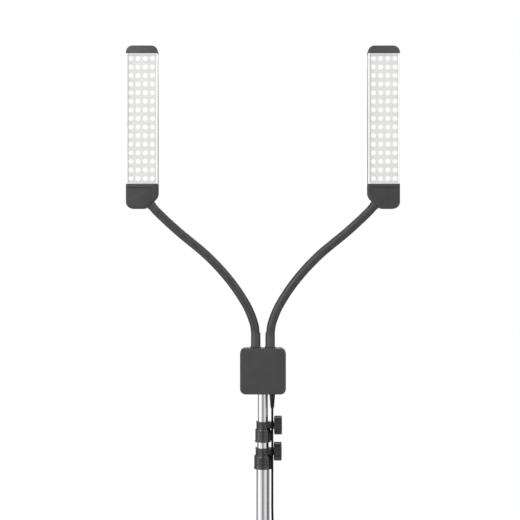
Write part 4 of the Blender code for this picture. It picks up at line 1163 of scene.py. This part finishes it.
def build_tubes(mat):
    for name, body in TUBES:
        low, high, _, size = measure(name)
        outer = size.x / 2.0
        inner = outer - TUBE_WALL
        profile = fillet(((outer, low.z), (outer, high.z), (inner, high.z), (inner, low.z)),
                         0.0003, 3, closed=True)
        piece(name + "_drawn", turned(profile, (0.0, MAST_Y), "Z", 96, loop=True), mat, body,
              "chrome_tube", name)


def clamp_shell(low, high, step, ring_r, sleeve_r, bore, ribs):
    """A clamp ring with a lip and ridges over a wider sleeve with ribs and a flared foot."""
    lip, flare = ring_r + 0.0004, sleeve_r + 0.0006
    profile = [(bore, high), (ring_r + 0.0002, high), (lip, high - 0.0004),
               (lip, high - 0.0022), (ring_r, high - 0.0028)]
    profile += repeated(RING_RIDGES, ring_r, high - 0.0034, -(RING_H - 0.0050) / RING_RIDGES, (
        (0.0, 0.0), (0.0007, -0.0004), (0.0007, -0.0010), (0.0, -0.0014)))
    profile += [(ring_r, step), (sleeve_r - 0.0008, step - 0.0006), (sleeve_r, step - 0.0016)]
    profile += repeated(ribs, sleeve_r, step - 0.0050, -(step - low - 0.012) / ribs, (
        (0.0, 0.0), (0.0005, -0.0004), (0.0005, -0.0009), (0.0, -0.0013)))
    profile += [(sleeve_r, low + 0.0050), (flare, low + 0.0022), (flare, low + 0.0008),
                (sleeve_r, low), (bore + 0.0015, low), (bore + 0.0015, step - 0.002),
                (bore, step - 0.002)]
    return turned(profile, (0.0, MAST_Y), "Z", 96, loop=True)


def clamp_boss(ring_r, knob_z):
    """The screw boss, with a rim at its end."""
    start, end, rim, bore = ring_r - 0.001, BOSS_END_X, BOSS_R + 0.0007, 0.0042
    profile = [(bore, start), (BOSS_R, start), (BOSS_R, end - 0.0016), (rim, end - 0.0012),
               (rim, end - 0.0003), (BOSS_R + 0.0003, end), (bore, end)]
    return turned(fillet(profile, 0.0004, 2), (MAST_Y, knob_z), "X", 48)


def build_collar(name, body, ring_r, sleeve_r, bore, ribs, mat):
    """A clamp collar: its shell and boss, with gussets, a web, a fin, slanting ribs and lugs."""
    low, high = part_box(f"{name}_collar")
    knob_z = measure(f"{name}_knob")[2].z
    step = high.z - RING_H
    shell = clamp_shell(low.z, high.z, step, ring_r, sleeve_r, bore, ribs)
    boss = clamp_boss(ring_r, knob_z)
    top = min(knob_z + BOSS_R - 0.0006, high.z + 0.0008)
    root, end = ring_r - 0.0015, BOSS_END_X - 0.0005
    extras = [slab([(root, step + 0.0006), (root, top), (end, top), (end, knob_z - 0.003)],
                   y - 0.0010, y + 0.0010) for y in (MAST_Y - GUSSET_Y, MAST_Y + GUSSET_Y)]
    web_end = BOSS_END_X - 0.0006
    web = prism([(root, knob_z + 0.0020), (root, top - 0.0008), (web_end, top - 0.0008),
                 (web_end, knob_z + 0.0020)], MAST_Y - GUSSET_Y, MAST_Y + GUSSET_Y)
    fin = box((sleeve_r - 0.0015, MAST_Y - 0.0030, low.z + 0.0030),
              (0.0200, MAST_Y + 0.0030, step - 0.0030))
    lug_end = BOSS_END_X - 0.0050
    lug = [(0.0060, step + 0.0030), (0.0060, top), (lug_end, top), (lug_end, knob_z - 0.0050)]
    for facing in (-1.0, 1.0):
        face = MAST_Y + facing * (ring_r - 0.0005)
        for foot in (0.0015, 0.0060):
            slant = [(foot, step + 0.0010), (foot + 0.0014, step + 0.0010),
                     (foot + 0.0104, top - 0.0010), (foot + 0.0090, top - 0.0010)]
            extras.append(slab(slant, face, face + facing * 0.0012))
        extras.append(slab(lug, MAST_Y + facing * 0.0095, MAST_Y + facing * 0.0110))
    piece(f"{name}_clamp", merged(shell, boss, *extras, web, fin), mat, body, "collar_plastic",
          f"{name}_collar", bevel=0.0004, segments=2, angle=55.0)


def build_clamp_knob(name, inset, mat, steel):
    """A fluted grip with bands round it and a dished face, on a threaded screw."""
    low, high, middle, size = measure(f"{name}_knob")
    r, start, end = size.z / 2.0, KNOB_START_X - inset, high.x - inset
    stations = [(start + 0.0004, 0.0072, 0.0), (start, 0.0080, 0.0), (start, r * 0.82, 0.5),
                (start + 0.0006, r * 0.93, 1.0), (start + 0.0018, r, 1.0)]
    pitch = (end - start - 0.0042) / KNOB_BANDS
    for i in range(KNOB_BANDS):
        x = start + 0.0022 + i * pitch
        stations += [(x + pitch * share, r - depth, 1.0) for share, depth in (
            (0.40, 0.0), (0.50, 0.0006), (0.66, 0.0006), (0.76, 0.0))]
    stations += [(end - 0.0016, r, 1.0), (end - 0.0005, r * 0.965, 1.0), (end, r * 0.90, 0.8),
                 (end, r * 0.70, 0.2), (end - 0.0012, r * 0.64, 0.0),
                 (end - 0.0014, r * 0.30, 0.0), (end - 0.0004, r * 0.24, 0.0),
                 (end - 0.0004, 0.0005, 0.0)]
    centre = (MAST_Y, middle.z)
    piece(f"{name}_grip", fluted_knob(stations, 12, 0.09, centre, "X", 144), mat,
          f"{name}_knob", "knob_plastic", f"{name}_knob")
    turns = ceil((start + 0.002 - low.x) / THREAD_PITCH)
    threads = repeated(turns, THREAD_R, low.x, THREAD_PITCH,
                       ((0.0, 0.0), (-0.0004, 0.0004), (0.0, 0.0008)))
    piece(f"{name}_screw", turned(threads, centre, "X", 32), steel, f"{name}_knob", "steel")


# ---------------------------------------------------------------- tripod

LEG_AZIMUTHS = (-90.0, 30.0, 150.0)
LEG_PIVOT_R = 0.030
LOWER_PIVOT_Z = 0.042
LEG_OPEN = radians(58.0)
BRACE_LENGTH = 0.200
LEG_R = 0.008
LUG_R = 0.007
COLLAR_R = 0.020
TUBE_BORE = 0.0143
TONGUE_T = 0.006
EAR_T = 0.003
STRAP_T = 0.002
STRAP_Y = LEG_R + 0.0008 + STRAP_T / 2.0        # middle of each strap of a brace
EAR_GAP = 0.0005
EAR_ROOT = 0.0185
RIVET_R = 0.0030
FOOT_R = 0.011
FOOT_RINGS = 4
LEG_PIVOT_Z = LOWER_PIVOT_Z + 2.0 * BRACE_LENGTH * cos(LEG_OPEN)
LEG_LENGTH = (LEG_PIVOT_Z - 0.007) / cos(LEG_OPEN)


def about_mast(bm, azimuth):
    """Turn a part drawn on the +X side of the mast's axis to an azimuth, at the mast."""
    turn = Matrix.Rotation(radians(azimuth), 4, "Z")
    return moved(bm, Matrix.Translation((0.0, MAST_Y, 0.0)) @ turn)


def plate(outline, thickness, offset=0.0):
    return prism(outline, offset - thickness / 2.0, offset + thickness / 2.0)


def bar_outline(start, end, radius=LUG_R):
    """A bar with round ends between two points."""
    start, end = Vector(start), Vector(end)
    along = (end - start).normalized()
    across = Vector((-along.y, along.x))
    outline = []
    for centre, facing in ((end, 1.0), (start, -1.0)):
        for k in range(17):
            turn = radians(-90.0 + 11.25 * k)
            outline.append(tuple(centre + radius * facing * (cos(turn) * along
                                                             + sin(turn) * across)))
    return outline


def rivet(place, half, head=0.0046):
    """A pin across a leg's plane with a domed head at each end."""
    dome = ((0.0004, 0.0014), (head * 0.55, 0.0012), (head * 0.88, 0.0007), (head, 0.0),
            (RIVET_R, 0.0))
    profile = [(r, -half - h) for r, h in dome] + [(r, half + h) for r, h in reversed(dome)]
    return turned(profile, place, "Y", 28)


def ringed_body(low, high, ridges):
    """A collar round the lower tube with lips and shallow rings, placed at the mast."""
    edge = COLLAR_R - 0.0006
    profile = [(TUBE_BORE, low), (edge, low), (COLLAR_R, low + 0.0008), (COLLAR_R, low + 0.0030)]
    profile += repeated(ridges, COLLAR_R, low + 0.0040, (high - low - 0.008) / ridges, (
        (0.0, 0.0), (0.0006, 0.0004), (0.0006, 0.0012), (0.0, 0.0016)))
    profile += [(COLLAR_R, high - 0.0030), (COLLAR_R, high - 0.0008), (edge, high),
                (TUBE_BORE, high)]
    return about_mast(turned(profile, (0.0, 0.0), "Z", 72, loop=True), 0.0)


def build_leg_collar(mat, steel):
    parts, pins = [ringed_body(LEG_PIVOT_Z - 0.012, LEG_PIVOT_Z + 0.040, 9)], []
    reach = TONGUE_T / 2.0 + EAR_GAP
    outline = bar_outline((EAR_ROOT, LEG_PIVOT_Z), (LEG_PIVOT_R, LEG_PIVOT_Z))
    for azimuth in LEG_AZIMUTHS:
        for facing in (-1.0, 1.0):
            ear = plate(outline, EAR_T, facing * (reach + EAR_T / 2.0))
            parts.append(about_mast(ear, azimuth))
        pins.append(about_mast(rivet((LEG_PIVOT_R, LEG_PIVOT_Z), reach + EAR_T), azimuth))
    boss = turned(fillet(((0.0044, 0.017), (0.0070, 0.017), (0.0070, 0.0260), (0.0044, 0.0260)),
                         0.0004, 2), (0.0, measure("leg_knob")[2].z), "Y", 40)
    parts.append(about_mast(boss, 0.0))
    piece("leg_slider_collar", merged(*parts), mat, "leg_slider", "collar_plastic", "leg_collar",
          bevel=0.0003, segments=2, angle=55.0)
    piece("leg_pins", merged(*pins), steel, "leg_slider", "steel")


def build_leg_knob(mat):
    low, _, middle, _ = measure("leg_knob")
    grip = star_grip("leg_knob", low.y + 0.0103, (0.0024, 0.0032, 0.0040), middle.z)
    piece("leg_lock_grip", grip, mat, "leg_knob", "knob_plastic", "leg_knob")


def along_leg(profile, loop=False):
    """A profile of (radius, distance from the pivot) points turned round the open leg."""
    direction = Vector((sin(LEG_OPEN), 0.0, -cos(LEG_OPEN)))
    turn = direction.to_track_quat("Z", "Y").to_matrix().to_4x4()
    place = Matrix.Translation((LEG_PIVOT_R, 0.0, LEG_PIVOT_Z)) @ turn
    return moved(turned(profile, (0.0, 0.0), "Z", 48, loop), place)


def build_leg(number, azimuth, metal, plastic):
    """A leg's tube, and the plastic end with its tongue and sleeve."""
    end = LEG_LENGTH - 0.006
    tube = along_leg(((0.0003, 0.0200), (LEG_R - 0.0015, 0.0200), (LEG_R - 0.0004, 0.0206),
                      (LEG_R, 0.0216), (LEG_R, end - 0.0010), (LEG_R - 0.0006, end),
                      (0.0003, end)))
    piece(f"leg_{number}_tube", about_mast(tube, azimuth), metal, f"leg_{number}",
          "leg_aluminium", f"leg_{number}")
    pivot = Vector((LEG_PIVOT_R, LEG_PIVOT_Z))
    inner = pivot + 0.026 * Vector((sin(LEG_OPEN), -cos(LEG_OPEN)))
    tongue = plate(bar_outline(pivot, inner), TONGUE_T)
    inside, outside = LEG_R - 0.0005, LEG_R + 0.0009
    sleeve = along_leg(fillet(((inside, 0.0186), (outside, 0.0186), (outside, 0.0330),
                               (inside, 0.0330)), 0.0005, 3, closed=True), loop=True)
    piece(f"leg_{number}_end", merged(about_mast(tongue, azimuth), about_mast(sleeve, azimuth)),
          plastic, f"leg_{number}", "collar_plastic", bevel=0.0005, segments=2, angle=50.0)


def build_foot(number, azimuth, rubber):
    """A ringed rubber boot with a round end, cut flat where it stands on the floor."""
    top = LEG_LENGTH - 0.0260
    profile = [(LEG_R, top), (FOOT_R - 0.0012, top), (FOOT_R - 0.0004, top + 0.0006)]
    profile += repeated(FOOT_RINGS, FOOT_R, top + 0.0028, 0.0040, (
        (0.0, 0.0), (0.0, 0.0016), (0.0007, 0.0021), (0.0007, 0.0030)))
    profile.append((FOOT_R, LEG_LENGTH - 0.0062))
    profile += [(FOOT_R * cos(t), LEG_LENGTH + FOOT_R * sin(t))
                for t in np.radians(range(0, 90, 10))]
    foot = about_mast(along_leg(profile), azimuth)
    cut = bmesh.ops.bisect_plane(foot, geom=foot.verts[:] + foot.edges[:] + foot.faces[:],
                                 plane_co=(0.0, 0.0, 0.0), plane_no=(0.0, 0.0, -1.0),
                                 clear_outer=True)["geom_cut"]
    bmesh.ops.contextual_create(foot, geom=[e for e in cut if isinstance(e, bmesh.types.BMEdge)])
    piece(f"foot_{number}_boot", foot, rubber, f"leg_{number}", "black_rubber", f"foot_{number}")


def build_brace(number, azimuth, metal, steel):
    """Two straps with a web between them and a swage on each, and a rivet at each end."""
    lower = Vector((LEG_PIVOT_R, LOWER_PIVOT_Z))
    upper = Vector((LEG_PIVOT_R + BRACE_LENGTH * sin(LEG_OPEN),
                    LEG_PIVOT_Z - BRACE_LENGTH * cos(LEG_OPEN)))
    along = (upper - lower).normalized()
    inward = Vector((-along.y, along.x))
    swage = bar_outline(lower + along * 0.030, upper - along * 0.036, 0.0022)
    first, last = lower + along * 0.056, upper - along * 0.030
    near, far = inward * (LUG_R - STRAP_T), inward * (LUG_R - 0.0001)
    web = [tuple(first + near), tuple(last + near), tuple(last + far), tuple(first + far)]
    outer = STRAP_Y + STRAP_T / 2.0
    parts = [plate(bar_outline(lower, upper), STRAP_T, y) for y in (-STRAP_Y, STRAP_Y)]
    parts.append(plate(web, 2.0 * STRAP_Y))
    parts += [plate(swage, 0.0008, y) for y in (-outer, outer)]
    piece(f"brace_{number}_strap", about_mast(merged(*parts), azimuth), metal,
          f"brace_{number}", "leg_aluminium", f"brace_{number}", bevel=0.0004, segments=2,
          angle=50.0)
    pins = [rivet(tuple(upper), outer, head=0.0044)]
    for facing in (-1.0, 1.0):
        dome = [(r, facing * (outer + h)) for r, h in (
            (0.0042, -0.0004), (0.0042, 0.0), (0.0037, 0.0007), (0.0022, 0.0012),
            (0.0003, 0.0013))]
        pins.append(turned(dome, tuple(lower), "Y", 28))
    piece(f"brace_{number}_rivets", about_mast(merged(*pins), azimuth), steel,
          f"brace_{number}", "steel")


def build_bottom_collar(mat):
    low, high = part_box("bottom_collar")
    parts = [ringed_body(low.z + 0.004, high.z, 4)]
    rim, lip = low.z + 0.0035, low.z + 0.0045
    cup = turned(fillet(((0.004, rim), (0.004, low.z), (COLLAR_R - 0.003, low.z),
                         (COLLAR_R - 0.0006, lip), (TUBE_BORE, lip), (TUBE_BORE, rim)),
                        0.0004, 2, closed=True), (0.0, 0.0), "Z", 72, loop=True)
    parts.append(about_mast(cup, 0.0))
    outline = bar_outline((EAR_ROOT, LOWER_PIVOT_Z), (LEG_PIVOT_R, LOWER_PIVOT_Z))
    parts += [about_mast(plate(outline, 2.0 * LEG_R), azimuth) for azimuth in LEG_AZIMUTHS]
    piece("brace_hub", merged(*parts), mat, "base", "collar_plastic", "bottom_collar",
          bevel=0.0003, segments=2, angle=55.0)


# ---------------------------------------------------------------- further materials

def board_white(name, centre):
    """White solder mask with a weave showing through, a painted pool of light round each diode and
    a painted glow over the whole board.
    """
    shade = Shader(name, (0.42, 0.42, 0.415), 0.45)
    shade.vary(shade.noise(400.0, 4.0, (1.0, 1.0, 0.4)), 0.39, 0.44)
    split = shade.node("SeparateXYZ", {0: shade.place})
    away = []
    for axis, pitch, count, middle in (("X", LED_PITCH_X, LED_COLUMNS, centre[0]),
                                       ("Z", LED_PITCH_Z, LED_ROWS, centre[1])):
        first = middle - (count / 2.0) * pitch
        steps = shade.math("DIVIDE", shade.math("SUBTRACT", split.outputs[axis], first), pitch)
        cell = shade.math("SUBTRACT", shade.math("FRACT", steps), 0.5)
        offset = shade.math("MULTIPLY", cell, pitch)
        away.append(shade.math("MULTIPLY", offset, offset))
    reach = shade.math("SQRT", shade.math("ADD", *away))
    near = shade.fit(reach, DOME_R * 0.9, HALO_R, 1.0, 0.0)
    painted_halo = shade.math("POWER", near, HALO_FALLOFF)
    # painted light: the board is made lighter round each diode, and it glows all over
    shade.blend_colour(painted_halo, (0.62, 0.62, 0.61))
    shade.rough(shade.noise(220.0, 4.0), 0.38, 0.52)
    shade.bump(shade.noise(1500.0, 2.0), 0.15, 0.00008)
    shade.glow(DAYLIGHT, shade.fit(painted_halo, 0.0, 1.0, *PAINTED_BOARD_GLOW))
    return shade.mat


def emitter_glow(name):
    """The lit domes: warm-white phosphor, mottled like the resin over it."""
    shade = Shader(name, (0.85, 0.85, 0.82), 0.30)
    mottle = shade.noise(900.0, 5.0)
    shade.vary(mottle, 0.80, 0.90)
    shade.bump(mottle, 0.10, 0.00005)
    shade.glow((1.0, 1.0, 0.98), EMITTER_GLOW)
    return shade.mat


def clear_sheet(name):
    """Thin clear plastic: nearly invisible, with a satin texture that catches the light."""
    shade = Shader(name, (0.92, 0.92, 0.92), 0.30, alpha=0.14)
    cloud = shade.noise(60.0, 4.0)
    shade.vary(cloud, 0.88, 0.96)
    shade.rough(shade.noise(300.0, 4.0), 0.26, 0.36)
    shade.bump(shade.noise(1400.0, 2.0), 0.10, 0.00006)
    return shade.mat


def green_board(name):
    """Solder mask over copper tracks."""
    shade = Shader(name, (0.03, 0.14, 0.06), 0.35)
    shade.vary(shade.noise(300.0, 4.0), 0.11, 0.17)
    tracks = shade.fit(shade.cells(260.0, "DISTANCE_TO_EDGE"), 0.02, 0.05, 1.0, 0.0)
    shade.blend_colour(tracks, (0.07, 0.24, 0.10))
    shade.bump(tracks, 0.3, 0.00006)
    return shade.mat


def new_material(node, mat):
    """Give a CAD node that is carried over as it is its own procedural material."""
    for item in bpy.data.objects:
        if item.name == node or item.name.startswith(node + "."):
            item.data.materials.clear()
            item.data.materials.append(mat)


# ---------------------------------------------------------------- the whole scene

def build_mast(collar, knob, plain_steel):
    build_tubes(bright_tube("chrome_tube", 0.88, 0.14))
    for name, body, ring_r, sleeve_r, bore, ribs, inset in COLLARS:
        build_collar(name, body, ring_r, sleeve_r, bore, ribs, collar)
        build_clamp_knob(name, inset, knob, plain_steel)


def build_necks():
    sleeve = soft_rubber("neck_sleeve", 0.046, 0.36, dusty=0.12)
    ferrule = moulded("ferrule_metal", 0.062, 0.36, grain=0.15)
    for label, side in SIDES:
        build_sleeves(label, side, sleeve)
        build_neck_ends(label, side, ferrule)


def build_panels(plain_steel):
    housing = machined("panel_housing", 0.16, 0.42, (700.0, 700.0, 8.0))
    bezel = moulded("panel_bezel", 0.90, 0.38, grain=0.2, lit=PAINTED_BEZEL_GLOW)
    # The caps are one plastic in two copies: the upper cap's is painted lighter, standing for the
    # brighter light that falls on it.
    upper_cap_painted_lighter = moulded("upper_cap_plastic_painted_lighter", 0.068, 0.42)
    lower_cap = moulded("lower_cap_plastic", 0.045, 0.42)
    emitters = emitter_glow("emitters")
    for label, side in SIDES:
        build_housing(label, side, housing)
        build_bezel(label, bezel)
        board = board_white(f"{label}_led_sheet", diode_middle(label, side))
        build_led_sheet(label, side, board, emitters)
        build_top_cap(label, side, upper_cap_painted_lighter)
        build_bottom_cap(label, side, lower_cap)
        build_cap_screws(label, side, plain_steel)
        new_material(f"{label}_panel_lens", clear_sheet(f"{label}_lens_sheet"))


def build_tripod(collar, knob, plain_steel):
    rubber = soft_rubber("foot_rubber", 0.018, 0.70)
    aluminium = machined("leg_aluminium", 0.60, 0.36, (900.0, 900.0, 12.0))
    build_leg_collar(collar, plain_steel)
    build_leg_knob(knob)
    build_bottom_collar(collar)
    for number, azimuth in enumerate(LEG_AZIMUTHS, 1):
        build_leg(number, azimuth, aluminium, collar)
        build_foot(number, azimuth, rubber)
        build_brace(number, azimuth, aluminium, plain_steel)


def build():
    build_camera()
    plain_steel = machined("steel", 0.55, 0.30, (900.0, 900.0, 900.0))
    build_lead(soft_rubber("lead_rubber", 0.004, 0.50, specular=0.08, dusty=0.03),
               moulded("adapter_plastic", 0.022, 0.40), plain_steel)
    build_strain_relief(soft_rubber("relief_rubber", 0.005, 0.25, dusty=0.08))
    collar = moulded("collar_plastic", 0.021, 0.22, grain=0.10, specular=1.0)
    knob = moulded("knob_plastic", 0.018, 0.30, grain=0.15, specular=0.7)
    build_mast(collar, knob, plain_steel)
    build_hub(moulded("hub_case", 0.058, 0.50, specular=0.28), knob, plain_steel)
    build_necks()
    build_panels(plain_steel)
    build_tripod(collar, knob, plain_steel)
    new_material("driver_board", green_board("driver_board_mask"))
    new_material("stand_socket", machined("socket_metal", 0.58, 0.32, (600.0, 600.0, 40.0)))
    build_world()
    build_floor()
    build_lights()


build()
bpy.context.scene.view_settings.view_transform = "Standard"
